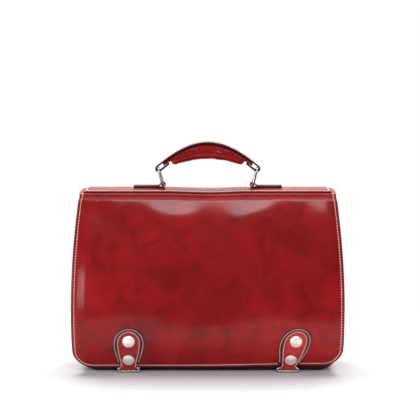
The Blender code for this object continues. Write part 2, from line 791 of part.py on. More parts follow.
def grip_section(x, shrink):
    """The middle height and the half sizes of the grip at a place along it."""
    share = (x / GRIP_HALF_LENGTH) ** 2
    height = GRIP_HEIGHT + (GRIP_END_HEIGHT - GRIP_HEIGHT) * share
    width = GRIP_WIDTH + (GRIP_END_WIDTH - GRIP_WIDTH) * share
    top = arch_height(x) - HANDLE_STRAP / 2 / math.cos(arch_slope(x)) - GAP
    return top - height / 2, width / 2 * shrink, height / 2 * shrink


def build_grip(handle):
    inner_x = GRIP_HALF_LENGTH - (1 - GRIP_END_ROUND) * GRIP_END_HEIGHT
    steps = 10
    stations = [(inner_x * (2 * k / steps - 1), 1.0) for k in range(steps + 1)]
    stations = [(-GRIP_HALF_LENGTH, GRIP_END_ROUND)] + stations + [(GRIP_HALF_LENGTH, GRIP_END_ROUND)]
    turns = [2 * math.pi * k / GRIP_SIDES for k in range(GRIP_SIDES)]

    def power(value):
        return math.copysign(abs(value) ** GRIP_SQUARENESS, value)

    outer, bore = [], []
    for x, shrink in stations:
        middle, half_width, half_height = grip_section(x, shrink)
        outer.append(
            [
                (x, HANDLE_Y + half_width * power(math.cos(t)), middle + half_height * power(math.sin(t)))
                for t in turns
            ]
        )
        bore.append(core_ring(x, middle, CORE_RADIUS + GAP, turns))
    handle.add("handle_grip", outer + bore[::-1], "red_leather", closed=True)
    core = []
    for x, _ in stations[1:-1]:
        core.append(core_ring(x, grip_section(x, 1.0)[0], CORE_RADIUS, turns))
    handle.add("handle_core", core, "grip_core")


def core_ring(x, middle, radius, turns):
    return [(x, HANDLE_Y + radius * math.cos(t), middle + radius * math.sin(t)) for t in turns]


def build_handle(lid):
    build_mounts(lid)
    left = Body("handle_ring_left", ring_pivot("left"), lid)
    left.add("handle_ring_left", ring_loops("left"), "nickel", closed=True)
    right = Body("handle_ring_right", ring_pivot("right"), lid)
    right.add("handle_ring_right", ring_loops("right"), "nickel", closed=True)
    handle = Body("handle", (-HANDLE_BAR_X, HANDLE_Y, HANDLE_BAR_Z), left)
    build_strap(handle)
    build_grip(handle)


def build():
    clear_scene()
    body = Body("body")
    lid = Body("flap_top", REAR_BEND, body)
    flap = Body("flap_front", FRONT_BEND, lid)
    flap_holes, stud_holes = build_closures(body, flap)
    build_shell(body, stud_holes)
    build_inside(body)
    build_flap_back(body)
    build_lid(lid)
    build_flap_front(flap, flap_holes)
    build_closure_rings(flap)
    build_handle(lid)


build()
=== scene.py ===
"""The looks of a red leather flap-over satchel with a padded top handle and two press-snap closures.

Metres, +Z up, the front towards -Y, as in the frame. A rise is a length up the flap from its bottom edge,
and a lift is a height off the flap's outer face.
"""

import math

import bpy
import numpy as np
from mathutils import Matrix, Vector, noise


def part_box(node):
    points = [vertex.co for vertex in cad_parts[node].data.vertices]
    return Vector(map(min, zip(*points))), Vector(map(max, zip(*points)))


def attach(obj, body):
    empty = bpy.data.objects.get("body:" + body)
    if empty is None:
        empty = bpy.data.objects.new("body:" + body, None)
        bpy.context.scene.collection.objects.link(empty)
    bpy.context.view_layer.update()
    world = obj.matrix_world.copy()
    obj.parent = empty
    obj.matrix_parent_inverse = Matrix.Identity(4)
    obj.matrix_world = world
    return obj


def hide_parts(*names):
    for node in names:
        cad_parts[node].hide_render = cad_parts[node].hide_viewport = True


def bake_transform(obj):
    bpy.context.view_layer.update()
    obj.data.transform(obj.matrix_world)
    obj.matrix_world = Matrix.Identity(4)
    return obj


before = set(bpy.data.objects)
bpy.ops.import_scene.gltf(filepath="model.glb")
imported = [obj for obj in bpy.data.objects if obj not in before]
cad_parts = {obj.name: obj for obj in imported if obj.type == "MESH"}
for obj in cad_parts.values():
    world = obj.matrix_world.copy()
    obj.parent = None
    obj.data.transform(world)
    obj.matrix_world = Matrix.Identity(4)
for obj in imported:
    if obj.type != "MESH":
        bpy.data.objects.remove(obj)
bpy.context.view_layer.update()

# Sheet thicknesses and the air between pieces, as in the frame
LEATHER = 0.0022
STRIP = 0.0015
PATCH = 0.0012
TAB = 0.0014
FACING = 0.0016
LINING = 0.0008
DIVIDER = 0.0018
BOARD_THICK = 0.0016
GAP = 0.0003

# The body, as in the frame
BODY_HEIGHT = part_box("front_panel")[1].z
FRONT_BULGE = -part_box("front_panel")[0].y
BACK_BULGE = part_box("back_panel")[1].y
BODY_HALF_BASE = 0.192
BODY_HALF_MOUTH = 0.181
BODY_CORNER = 0.030
BULGE_HEIGHT = 0.060
FRONT_LEAN = 0.0180
FRONT_TUCK = 0.0252
BACK_LEAN = 0.0120
BACK_TUCK = 0.0200
FACING_HEIGHT = 0.028
SEAM = LEATHER + GAP

# The flap, as in the frame
TOP_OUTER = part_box("top_strip")[0].z - GAP
FLAP_STANDOFF = 0.0070
FLAP_END_LEVEL = 0.0110
FLAP_HALF_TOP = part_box("flap_top")[1].x
FLAP_HALF_WIDE = 0.2000
FLAP_WIDE_HEIGHT = 0.085
FLAP_CORNER = 0.029
FRONT_BEND = Vector((0.0, -0.03862, 0.2641))
REAR_BEND = Vector((0.0, 0.05316, 0.2641))
HANDLE_Y = (FRONT_BEND.y + REAR_BEND.y) / 2


# Numbers and meshes ---------------------------------------------------------------------------------------


def smooth(t):
    t = np.clip(t, 0.0, 1.0)
    return t * t * (3 - 2 * t)


def bell(distance, width):
    return np.exp(-((distance / width) ** 2))


def wander(x, y, seed):
    """Soft random waves, from -1 to 1, that are the same each time."""
    spots = np.broadcast_arrays(np.asarray(x, float), np.asarray(y, float))
    values = [noise.noise(Vector((a, b, seed))) for a, b in zip(spots[0].ravel(), spots[1].ravel())]
    return np.array(values).reshape(spots[0].shape)


def show(name, mesh):
    obj = bpy.data.objects.new(name, mesh)
    bpy.context.scene.collection.objects.link(obj)
    return obj


def make_piece(name, points, faces, materials, indices):
    """A smooth closed mesh whose faces point outwards."""
    mesh = bpy.data.meshes.new(name)
    mesh.from_pydata([tuple(map(float, p)) for p in points], [], faces)
    for material in materials:
        mesh.materials.append(material)
    mesh.polygons.foreach_set("material_index", indices)
    mesh.shade_smooth()
    mesh.calc_loop_triangles()
    spots = np.array([v.co for v in mesh.vertices])
    corners = spots[np.array([t.vertices for t in mesh.loop_triangles])]
    if np.linalg.det(corners).sum() < 0:
        mesh.flip_normals()
    mesh.update()
    return show(name, mesh)


def grid_solid(name, outer, inner, materials, painted=0):
    """A sheet between two grids of points. The materials are its face's, its rim's and its back's.

    The paint of the rim runs over onto as many cells of the face as painted says.
    """
    rows, columns = outer.shape[:2]
    index = np.arange(rows * columns).reshape(rows, columns)
    back = index + rows * columns
    faces, kinds = [], []
    for r in range(rows - 1):
        for c in range(columns - 1):
            faces.append((index[r, c], index[r, c + 1], index[r + 1, c + 1], index[r + 1, c]))
            faces.append((back[r + 1, c], back[r + 1, c + 1], back[r, c + 1], back[r, c]))
            at_rim = min(r, c, columns - 2 - c) < painted
            kinds += [1 if at_rim else 0, 2]
    rim = list(index[0, :-1]) + list(index[:-1, -1]) + list(index[-1, :0:-1]) + list(index[:0:-1, 0])
    shift = rows * columns
    for a, b in zip(rim, rim[1:] + rim[:1]):
        faces.append((b, a, a + shift, b + shift))
        kinds.append(1)
    points = np.vstack([outer.reshape(-1, 3), inner.reshape(-1, 3)])
    return make_piece(name, points, [tuple(map(int, f)) for f in faces], materials, kinds)


def fit(piece, nodes, body=None):
    """Puts a piece in the place of nodes of the frame, and on the body that it rides."""
    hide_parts(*nodes)
    if body:
        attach(piece, body)
    return piece


def loft(name, loops, materials, kinds=None, closed=False):
    """A solid skinned over equal loops; kinds gives the material of each side of a loop."""
    loops = np.array([[tuple(p) for p in loop] for loop in loops])
    count, sides = loops.shape[:2]
    faces, indices = [], []
    for r in range(count if closed else count - 1):
        near, far = r * sides, (r + 1) % count * sides
        for k in range(sides):
            j = (k + 1) % sides
            faces.append((near + k, near + j, far + j, far + k))
            indices.append(kinds[k] if kinds else 0)
    if not closed:
        faces += [tuple(range(sides))[::-1], tuple(range((count - 1) * sides, count * sides))]
        indices += [max(indices)] * 2
    return make_piece(name, loops.reshape(-1, 3), faces, materials, indices)


class Line:
    """A path in the YZ plane, measured by length. Its outward side is turn quarter turns left of its run."""

    def __init__(self, points, turn=1):
        self.points = np.array(points, float)
        steps = np.linalg.norm(np.diff(self.points, axis=0), axis=1)
        self.lengths = np.concatenate([[0.0], np.cumsum(steps)])
        self.length = float(self.lengths[-1])
        self.along = np.gradient(self.points, self.lengths, axis=0)
        self.along /= np.linalg.norm(self.along, axis=1)[:, None]
        self.turn = turn

    def read(self, s, values):
        return np.stack([np.interp(s, self.lengths, values[:, k]) for k in (0, 1)], axis=-1)

    def run(self, s):
        return self.read(s, self.along)

    def normal(self, s):
        run = self.run(s)
        return np.stack([-run[..., 1], run[..., 0]], axis=-1) * self.turn

    def at(self, s, lift=0.0):
        """Points (y, z) at lengths s and lifts off the path; it goes on straight past its ends."""
        s = np.asarray(s, float)
        over = s - np.clip(s, 0.0, self.length)
        place = self.read(s, self.points) + self.run(s) * over[..., None]
        return place + self.normal(s) * np.broadcast_to(lift, s.shape)[..., None]


def to_space(x, yz):
    return np.concatenate([np.broadcast_to(x, yz.shape[:-1])[..., None], yz], axis=-1)


# The bag's curves -----------------------------------------------------------------------------------------

CURVE_STEPS = 400
BEND_STEPS = 15
FLAT_STEPS = 59
BEND_ROUND = 0.0085
BACK_DROP = 0.050
BEND_CLEAR = 0.0014
LID_CROWN = 0.0022
SAG = 0.0016
SAG_HALF = 0.060
SAG_FROM = 0.190


def draw_in(z, lean, tuck):
    above = lean * (np.clip(z - BULGE_HEIGHT, 0, None) / (BODY_HEIGHT - BULGE_HEIGHT)) ** 2
    return above + tuck * (np.clip(BULGE_HEIGHT - z, 0, None) / BULGE_HEIGHT) ** 2


def front_y(z):
    return -FRONT_BULGE + draw_in(z, FRONT_LEAN, FRONT_TUCK)


def back_y(z):
    return BACK_BULGE - draw_in(z, BACK_LEAN, BACK_TUCK)


def corner_loss(height, radius, inset=0.0):
    """What an inset and a rounded corner take off a half width, at a height over the bottom edge."""
    drop = np.clip(radius - height, 0, None)
    return radius - np.sqrt(np.clip((radius - inset) ** 2 - drop**2, 0, None))


def edge_depth(x, height, side, radius):
    """How far a point of a sheet is from its sides and its round-cornered bottom edge."""
    across = np.abs(x) - (side - radius)
    below = radius - height
    outside = np.hypot(np.clip(across, 0, None), np.clip(below, 0, None))
    return radius - outside - np.minimum(np.maximum(across, below), 0)


def body_side(z):
    return BODY_HALF_BASE + (BODY_HALF_MOUTH - BODY_HALF_BASE) * z / BODY_HEIGHT


def lid_rise(y):
    """How far the lid is arched up at a place between its two bends."""
    reach = (REAR_BEND.y - FRONT_BEND.y) / 2
    return LID_CROWN * np.clip(1 - ((y - HANDLE_Y) / reach) ** 2, 0, None)


def over_the_top(rising, top, end_y):
    """A rising curve that turns with a round bend onto the level of the top, and runs on to end_y."""
    corner_y = np.interp(top, rising[:, 1], rising[:, 0])
    corner = np.array([corner_y, top])
    far = np.linalg.norm(rising - corner, axis=1)
    kept = rising[(rising[:, 1] < top) & (far > BEND_ROUND)]
    toward = math.copysign(1.0, end_y - corner_y)
    start, finish = kept[-1], corner + np.array([toward * BEND_ROUND, 0.0])
    t = np.linspace(0, 1, BEND_STEPS + 1)[1:, None]
    bend = (1 - t) ** 2 * start + 2 * t * (1 - t) * corner + t**2 * finish
    flat = np.linspace(finish, (end_y, top), FLAT_STEPS + 1)[1:]
    curve = np.vstack([kept, bend, flat])
    curve[len(kept) :, 1] += lid_rise(curve[len(kept) :, 0])
    return curve


def front_rising():
    levels = np.linspace(FLAP_END_LEVEL, TOP_OUTER + FLAP_STANDOFF, CURVE_STEPS)
    face = Line(np.column_stack([front_y(levels), levels]))
    return face.at(face.lengths, FLAP_STANDOFF)


def back_rising():
    levels = np.linspace(REAR_BEND.z - BEND_CLEAR - BACK_DROP, TOP_OUTER + SEAM, CURVE_STEPS // 2)
    return np.column_stack([back_y(levels) + GAP + LEATHER, levels])


FLAP = Line(over_the_top(front_rising(), TOP_OUTER, HANDLE_Y - GAP))
BACK = Line(over_the_top(back_rising(), TOP_OUTER, HANDLE_Y + GAP), turn=-1)
FRONT_END = float(np.interp(TOP_OUTER - BEND_ROUND, FLAP.points[:, 1], FLAP.lengths))


def settle(points):
    """The mouth and the lid sag a little between the handle's mounts."""
    points = np.array(points, float)
    x, z = points[..., 0], points[..., 2]
    across = np.clip(1 - (x / SAG_HALF) ** 2, 0, None) ** 2
    points[..., 2] = z - SAG * across * smooth((z - SAG_FROM) / (BODY_HEIGHT - SAG_FROM))
    return points


# Finishes -------------------------------------------------------------------------------------------------


class Nodes:
    """A node tree whose nodes are added and joined in a few words."""

    def __init__(self, tree):
        self.tree = tree

    def add(self, kind, inputs=None, **settings):
        node = self.tree.nodes.new(kind)
        for name, value in settings.items():
            setattr(node, name, value)
        for name, value in (inputs or {}).items():
            self.feed(node.inputs[name], value)
        return node

    def feed(self, socket, value):
        if isinstance(value, bpy.types.NodeSocket):
            self.tree.links.new(value, socket)
        else:
            socket.default_value = value

    def ranged(self, value, low, high, to_low, to_high):
        inputs = {"Value": value, "From Min": low, "From Max": high, "To Min": to_low, "To Max": to_high}
        return self.add("ShaderNodeMapRange", inputs).outputs["Result"]

    def blend(self, share, first, second, how="MIX"):
        node = self.add("ShaderNodeMix", data_type="RGBA", blend_type=how)
        for name, value in (("Factor_Float", share), ("A_Color", first), ("B_Color", second)):
            socket = next(i for i in node.inputs if i.identifier == name)
            self.feed(socket, (*value, 1.0) if isinstance(value, tuple) else value)
        return next(o for o in node.outputs if o.identifier == "Result_Color")


class Shader(Nodes):
    """A material's nodes, placed by the object's own coordinates."""

    def __init__(self, name, roughness, metallic=0.0):
        self.material = bpy.data.materials.new(name)
        self.material.use_nodes = True
        super().__init__(self.material.node_tree)
        self.main = self.tree.nodes["Principled BSDF"]
        self.set(Roughness=roughness, Metallic=metallic)
        self.place = self.add("ShaderNodeTexCoord").outputs["Object"]

    def stretched(self, scale):
        return self.add("ShaderNodeMapping", {"Vector": self.place, "Scale": scale}).outputs["Vector"]

    def cloud(self, scale, detail=4.0, distortion=0.0, vector=None):
        inputs = {"Vector": vector or self.place, "Scale": scale, "Detail": detail, "Distortion": distortion}
        return self.add("ShaderNodeTexNoise", inputs).outputs["Fac"]

    def cells(self, scale):
        inputs = {"Vector": self.place, "Scale": scale}
        return self.add("ShaderNodeTexVoronoi", inputs, feature="DISTANCE_TO_EDGE").outputs["Distance"]

    def ramp(self, value, *stops):
        node = self.add("ShaderNodeValToRGB", {"Fac": value})
        ramp = node.color_ramp
        ramp.elements[0].position, ramp.elements[0].color = stops[0][0], (*stops[0][1], 1.0)
        ramp.elements[1].position, ramp.elements[1].color = stops[-1][0], (*stops[-1][1], 1.0)
        for position, colour in stops[1:-1]:
            ramp.elements.new(position).color = (*colour, 1.0)
        return node.outputs["Color"]

    def bump(self, height, distance, strength=1.0, under=None):
        inputs = {"Height": height, "Distance": distance, "Strength": strength}
        if under:
            inputs["Normal"] = under
        return self.add("ShaderNodeBump", inputs).outputs["Normal"]

    def set(self, **inputs):
        for name, value in inputs.items():
            self.feed(self.main.inputs[name.replace("_", " ")], value)
        return self.material


def stained_leather(name, stain, roughness, coat, foot_shade_height=0.0):
    """Glazed vegetable-tanned leather: clouded stain, fine pores, soft creases and a waxy top coat.

    One with a foot shade height is darkened near black along the foot, up to that height: painted shade for
    the shadow under the flap and at the floor.
    """
    s = Shader(name, roughness)
    clouds = s.cloud(9.0, 3.0, 0.5)
    patches = s.cloud(31.0, 5.0, 0.8)
    spots = (0.36, (0.74, 0.72, 0.72)), (0.55, (1.0, 1.0, 1.0)), (0.75, (1.14, 1.10, 1.10))
    tones = zip((0.30, 0.50, 0.72), stain)
    colour = s.blend(1.0, s.ramp(clouds, *tones), s.ramp(patches, *spots), "MULTIPLY")
    # Painted shade: near black at the foot, fading out by the given height.
    if foot_shade_height:
        height = s.add("ShaderNodeSeparateXYZ", {"Vector": s.place}).outputs["Z"]
        colour = s.blend(s.ranged(height, 0.004, foot_shade_height, 0.10, 1.0), (0.010, 0.006, 0.007), colour)
    creases = s.cloud(260.0, 6.0, 1.2)
    grain = s.bump(s.ranged(s.cells(1150.0), 0.0, 0.12, 0.0, 1.0), 0.00006, 0.35)
    soft = s.bump(creases, 0.00022, 0.35, grain)
    return s.set(
        Base_Color=colour,
        Roughness=s.ranged(patches, 0.3, 0.7, roughness + 0.07, roughness - 0.05),
        Normal=s.bump(clouds, 0.0016, 0.45, soft),
        Coat_Weight=coat,
        Coat_Roughness=0.11,
        Specular_IOR_Level=0.08,
    )


def painted_edge():
    """The dark paint that seals a cut edge, a little uneven."""
    s = Shader("edge_paint", 0.36)
    patches = s.cloud(140.0, 4.0)
    colour = s.ramp(patches, (0.35, (0.010, 0.005, 0.005)), (0.70, (0.042, 0.014, 0.013)))
    return s.set(Base_Color=colour, Normal=s.bump(s.cloud(900.0, 3.0), 0.00010, 0.5))


def flesh_side():
    """The rough inner side of the red leather, where it shows past the lining."""
    s = Shader("flesh_side", 0.85)
    colour = s.ramp(s.cloud(60.0, 6.0), (0.3, (0.155, 0.028, 0.024)), (0.7, (0.235, 0.052, 0.042)))
    return s.set(Base_Color=colour, Normal=s.bump(s.cloud(1400.0, 6.0), 0.00025, 0.6))


def suede():
    """Brushed suede split: a short matt nap with strokes that lean different ways."""
    s = Shader("suede_lining", 0.92)
    strokes = s.cloud(14.0, 5.0, 1.4)
    fibres = s.cloud(1500.0, 5.0, 0.0, s.stretched((1.0, 1.0, 0.45)))
    tones = (0.32, (0.225, 0.128, 0.066)), (0.52, (0.315, 0.190, 0.102)), (0.72, (0.385, 0.245, 0.140))
    nap = s.ramp(fibres, (0.30, (0.72, 0.70, 0.68)), (0.65, (1.0, 1.0, 1.0)))
    return s.set(
        Base_Color=s.blend(1.0, s.ramp(strokes, *tones), nap, "MULTIPLY"),
        Normal=s.bump(fibres, 0.00030, 0.55),
        Sheen_Weight=0.25,
        Sheen_Roughness=0.5,
        Specular_IOR_Level=0.2,
    )


def polished_nickel(name, low, high, roughness):
    """Nickel plate with faint polishing marks."""
    s = Shader(name, roughness, 1.0)
    marks = s.cloud(300.0, 5.0)
    rough = s.ranged(marks, 0.35, 0.70, roughness - 0.04, roughness + 0.06)
    return s.set(Base_Color=s.ramp(s.cloud(120.0, 3.0), (0.35, low), (0.70, high)), Roughness=rough)


def waxed_thread():
    """Pale waxed thread with its twist."""
    s = Shader("thread", 0.62)
    twist = s.cloud(1900.0, 2.0)
    colour = s.ramp(twist, (0.3, (0.74, 0.56, 0.52)), (0.6, (0.93, 0.80, 0.75)))
    return s.set(Base_Color=colour, Normal=s.bump(twist, 0.00012, 0.5), Sheen_Weight=0.1)


def fibre_board():
    """Pressed board with darker flecks."""
    s = Shader("fibre_board", 0.88)
    flecks = s.cloud(420.0, 6.0)
    colour = s.ramp(flecks, (0.3, (0.165, 0.115, 0.070)), (0.7, (0.330, 0.245, 0.160)))
    return s.set(Base_Color=colour, Normal=s.bump(flecks, 0.0002, 0.5))


def cotton_core():
    """Twisted cotton cord."""
    s = Shader("cotton_core", 0.95)
    inputs = {"Vector": s.place, "Scale": 260.0, "Distortion": 1.5}
    lay = s.add("ShaderNodeTexWave", inputs, bands_direction="DIAGONAL").outputs["Fac"]
    colour = s.ramp(lay, (0.2, (0.42, 0.38, 0.30)), (0.8, (0.68, 0.63, 0.53)))
    return s.set(Base_Color=colour, Normal=s.bump(lay, 0.0004, 0.7))


RED_STAIN = (0.225, 0.0040, 0.0050), (0.285, 0.0050, 0.0060), (0.350, 0.0075, 0.0080)
BRIGHT_STAIN = (0.340, 0.0160, 0.0170), (0.440, 0.0240, 0.0250), (0.530, 0.0340, 0.0330)
DEEP_STAIN = (0.055, 0.0040, 0.0050), (0.085, 0.0060, 0.0070), (0.120, 0.0080, 0.0090)
RED = stained_leather("red_leather", RED_STAIN, 0.45, 0.40)
# The body's leather, with painted shade along its foot.
FOOT_SHADED_LEATHER = stained_leather("body_leather", RED_STAIN, 0.45, 0.30, 0.030)
BRIGHT = stained_leather("tab_leather", BRIGHT_STAIN, 0.42, 0.35)
DEEP = stained_leather("patch_leather", DEEP_STAIN, 0.42, 0.60)
PAINT = painted_edge()
FLESH = flesh_side()
SUEDE = suede()
# Painted highlight: the studs' nickel is tinted up to a creamy near-white, brighter than nickel, standing
# for their bright reflections.
NICKEL = polished_nickel("stud_nickel", (0.93, 0.87, 0.77), (0.99, 0.96, 0.88), 0.36)
# Painted shade: the rings' nickel is darkened well below the studs', standing for the dark surroundings the
# rings reflect.
WIRE = polished_nickel("wire_nickel", (0.46, 0.44, 0.41), (0.60, 0.58, 0.55), 0.16)
THREAD = waxed_thread()
BOARD = fibre_board()
COTTON = cotton_core()


# Stitching ------------------------------------------------------------------------------------------------

# The pitch, length and width of each gauge of stitch
STITCH = (0.0040, 0.0026, 0.0017)
FINE_STITCH = (0.0028, 0.0019, 0.0014)
GAUGE_INPUTS = ("Pitch", "Length", "Width")
OUTWARD = "outward"


def stitch_tree():
    """Running stitches at an even pitch along a line, laid on the side that the outward attribute names."""
    tree = bpy.data.node_groups.new("running_stitch", "GeometryNodeTree")
    tree.interface.new_socket("Geometry", in_out="INPUT", socket_type="NodeSocketGeometry")
    for name in GAUGE_INPUTS:
        tree.interface.new_socket(name, in_out="INPUT", socket_type="NodeSocketFloat")
    tree.interface.new_socket("Material", in_out="INPUT", socket_type="NodeSocketMaterial")
    tree.interface.new_socket("Geometry", in_out="OUTPUT", socket_type="NodeSocketGeometry")
    n = Nodes(tree)
    given = n.add("NodeGroupInput").outputs
    line = n.add("GeometryNodeMeshToCurve", {"Mesh": given["Geometry"]}).outputs["Curve"]
    spacing = {"Curve": line, "Length": given["Pitch"]}
    spaced = n.add("GeometryNodeResampleCurve", spacing, mode="LENGTH").outputs["Curve"]
    named = n.add("GeometryNodeInputNamedAttribute", data_type="FLOAT_VECTOR")
    n.feed(named.inputs["Name"], OUTWARD)
    outward = {"Vector": named.outputs["Attribute"]}
    facing = n.add("FunctionNodeAlignRotationToVector", outward, axis="Z").outputs["Rotation"]
    along = {"Rotation": facing, "Vector": n.add("GeometryNodeInputTangent").outputs["Tangent"]}
    lay = n.add("FunctionNodeAlignRotationToVector", along, axis="X", pivot_axis="Z").outputs["Rotation"]
    bead = n.add("GeometryNodeMeshUVSphere", {"Segments": 8, "Rings": 5, "Radius": 0.5}).outputs["Mesh"]
    size = n.add("ShaderNodeCombineXYZ", {"X": given["Length"], "Y": given["Width"], "Z": given["Width"]})
    shaping = {"Geometry": bead, "Scale": size.outputs["Vector"]}
    shaped = n.add("GeometryNodeTransform", shaping).outputs["Geometry"]
    laying = {"Points": spaced, "Instance": shaped, "Rotation": lay}
    copies = n.add("GeometryNodeInstanceOnPoints", laying).outputs["Instances"]
    real = n.add("GeometryNodeRealizeInstances", {"Geometry": copies}).outputs["Geometry"]
    smoothed = n.add("GeometryNodeSetShadeSmooth", {"Geometry": real}).outputs["Geometry"]
    finish = {"Geometry": smoothed, "Material": given["Material"]}
    n.add("NodeGroupOutput", {"Geometry": n.add("GeometryNodeSetMaterial", finish).outputs["Geometry"]})
    return tree


STITCHES = stitch_tree()


def evaluated_mesh(obj):
    graph = bpy.context.evaluated_depsgraph_get()
    return bpy.data.meshes.new_from_object(obj.evaluated_get(graph))


def sew(name, lines, gauge=STITCH, body=None):
    """One mesh of stitches along lines, each an array of points and an array of outward directions."""
    points, edges, directions = [], [], []
    for spots, outs in lines:
        first = len(points)
        points += [tuple(p) for p in spots]
        directions += [tuple(d) for d in outs]
        edges += [(first + k, first + k + 1) for k in range(len(spots) - 1)]
    mesh = bpy.data.meshes.new(name + "_path")
    mesh.from_pydata(points, edges, [])
    attribute = mesh.attributes.new(OUTWARD, "FLOAT_VECTOR", "POINT")
    attribute.data.foreach_set("vector", np.array(directions, np.float32).ravel())
    path = show(name + "_path", mesh)
    modifier = path.modifiers.new("stitches", "NODES")
    modifier.node_group = STITCHES
    values = {**dict(zip(GAUGE_INPUTS, gauge)), "Material": THREAD}
    for item in STITCHES.interface.items_tree:
        if item.in_out == "INPUT" and item.name in values:
            modifier[item.identifier] = values[item.name]
    sewn = evaluated_mesh(path)
    bpy.data.objects.remove(path)
    thread = show(name, sewn)
    if body:
        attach(thread, body)
    return thread


# The flap -------------------------------------------------------------------------------------------------

RIM_OFFSETS = (0.0, 0.00012, 0.0003, 0.0006, 0.0010, 0.0018)
GROOVE_OFFSETS = (0.0028, 0.0037, 0.0042, 0.0047, 0.0053, 0.0065, 0.0090)
EDGE_OFFSETS = RIM_OFFSETS + GROOVE_OFFSETS
NARROW_HALF = 0.020
GRID = 0.0034
EDGE_SHARE = 0.30
PAINTED = 4
STITCH_INSET = 0.0045
GROOVE = 0.00030
GROOVE_WIDTH = 0.0010
WAVE = 0.0016
WAVE_LENGTH = 0.075
WAVE_RISE = 0.10
CREST_WAVE = 0.0011
CREST_LENGTH = 0.045
CREST_RISE = 0.05
CREST_DROP = 0.02
CREST_FADE = 0.045
HANG_FADE = 0.03
FOOT_FADE = 0.05
FOOT_WAVE = 0.2
WAVE_SEED = 3.0
CREST_SEED = 11.0
FALL = 0.0016
FALL_WIDTH = 0.020
RAISE = 0.0036
RAISE_FROM = -0.03
RAISE_SPAN = 0.20
RAISE_FADE = 0.25
LINING_MARGIN = 0.007
CLOSURE_X = 0.1245
CLOSURE_CLEAR = 0.050
CLOSURE_FLAT = 0.03
CLOSURE_FADE = 0.045
THREAD_SHORT = 0.045
SIDE_STEPS = 160
TURN_STEPS = 24
FOOT_STEPS = 200
BACK_SIDE_STEPS = 60


def lateral(side, widest=None):
    """Places across a sheet: close at its two edges, even between. Every row has as many as the widest."""
    near = side - np.array(EDGE_OFFSETS) * min(1.0, side / NARROW_HALF)
    count = max(int(2 * (widest or side) / GRID), 4)
    middle = np.linspace(-near[-1], near[-1], count)[1:-1]
    return np.concatenate([-near, middle, near[::-1]])


def rows_up(sides, heights):
    """A grid of places across and up a sheet, from its half width at each height."""
    x = np.array([lateral(side, max(sides)) for side in sides])
    return x, np.repeat(heights[:, None], x.shape[1], axis=1)


def rises(length):
    """Places up a sheet: close at its foot, then even."""
    count = max(int((length - EDGE_OFFSETS[-1]) / GRID), 4)
    return np.concatenate([EDGE_OFFSETS, np.linspace(EDGE_OFFSETS[-1], length, count)[1:]])


def rim_share(depth, thickness):
    """How much of its thickness a sheet has near its rounded rim."""
    t = np.clip(depth / (thickness / 2), 0, 1)
    return EDGE_SHARE + (1 - EDGE_SHARE) * np.sqrt(1 - (1 - t) ** 2)


def flap_side(s):
    """Half the flap's width without its corners, at a rise."""
    z = FLAP.at(s)[..., 1]
    spread = np.where(s > FRONT_END, 1.0, (z - FLAP_WIDE_HEIGHT) / (TOP_OUTER - FLAP_WIDE_HEIGHT))
    return FLAP_HALF_WIDE - (FLAP_HALF_WIDE - FLAP_HALF_TOP) * spread**2


def flap_raise(x, s):
    """The flap hangs a little higher towards the right."""
    return RAISE * smooth((x - RAISE_FROM) / RAISE_SPAN) * (1 - smooth(s / RAISE_FADE))


def flap_waves(x, s):
    """Soft waves of the hanging leather, gone at the closures and on the top; its sides fall back."""
    low = bell(np.clip(s - CLOSURE_FLAT, 0, None), CLOSURE_FADE)
    free = 1 - bell((np.abs(x) - CLOSURE_X), CLOSURE_CLEAR) * low
    hang = smooth((FRONT_END - s) / HANG_FADE)
    broad = WAVE * wander(x / WAVE_LENGTH, s / WAVE_RISE, WAVE_SEED)
    near_bend = bell(s - FRONT_END + CREST_DROP, CREST_FADE)
    crest = CREST_WAVE * wander(x / CREST_LENGTH, s / CREST_RISE, CREST_SEED) * near_bend
    sides = FALL * (1 - smooth((flap_side(s) - np.abs(x)) / FALL_WIDTH)) * hang
    return (broad + crest) * hang * free * smooth(s / FOOT_FADE + FOOT_WAVE) - sides


def flap_place(x, s, lift=0.0):
    """Points on the flap, with its waves and its raised right side."""
    x, s = np.broadcast_arrays(np.asarray(x, float), np.asarray(s, float))
    yz = FLAP.at(s + flap_raise(x, s), lift + flap_waves(x, s))
    return settle(to_space(x, yz))


def flap_outward(s):
    return to_space(0.0, FLAP.normal(s))


def flap_grid(inset, end, face, thickness):
    """Outer and inner points of a sheet on the flap, with its face at a lift and its sides at an inset."""
    s = rises(end - inset) + inset
    x, rows = rows_up(flap_side(s) - corner_loss(s, FLAP_CORNER, inset), s)
    depth = edge_depth(x, rows, flap_side(rows), FLAP_CORNER)
    share = rim_share(depth - inset, thickness)
    dent = GROOVE * bell(depth - STITCH_INSET, GROOVE_WIDTH)
    outer = flap_place(x, rows, face - thickness / 2 * (1 - share) - dent)
    inner = flap_place(x, rows, face - thickness / 2 * (1 + share))
    return outer, inner


def flap_stitch_line(lift, end):
    """The line of stitches down one side, along the bottom and up the other side."""
    up = np.linspace(FLAP_CORNER, end, SIDE_STEPS)
    turns = np.linspace(0, math.pi / 2, TURN_STEPS)[1:]
    low = FLAP_CORNER - (FLAP_CORNER - STITCH_INSET) * np.sin(turns)
    s = np.concatenate([up[::-1], low])
    x = flap_side(s) - STITCH_INSET
    x[SIDE_STEPS:] -= (FLAP_CORNER - STITCH_INSET) * (1 - np.cos(turns))
    along = np.linspace(x[-1], -x[-1], FOOT_STEPS)[1:-1]
    xs = np.concatenate([x, along, -x[::-1]])
    ss = np.concatenate([s, np.full(len(along), STITCH_INSET), s[::-1]])
    return flap_place(xs, ss, lift), flap_outward(ss)


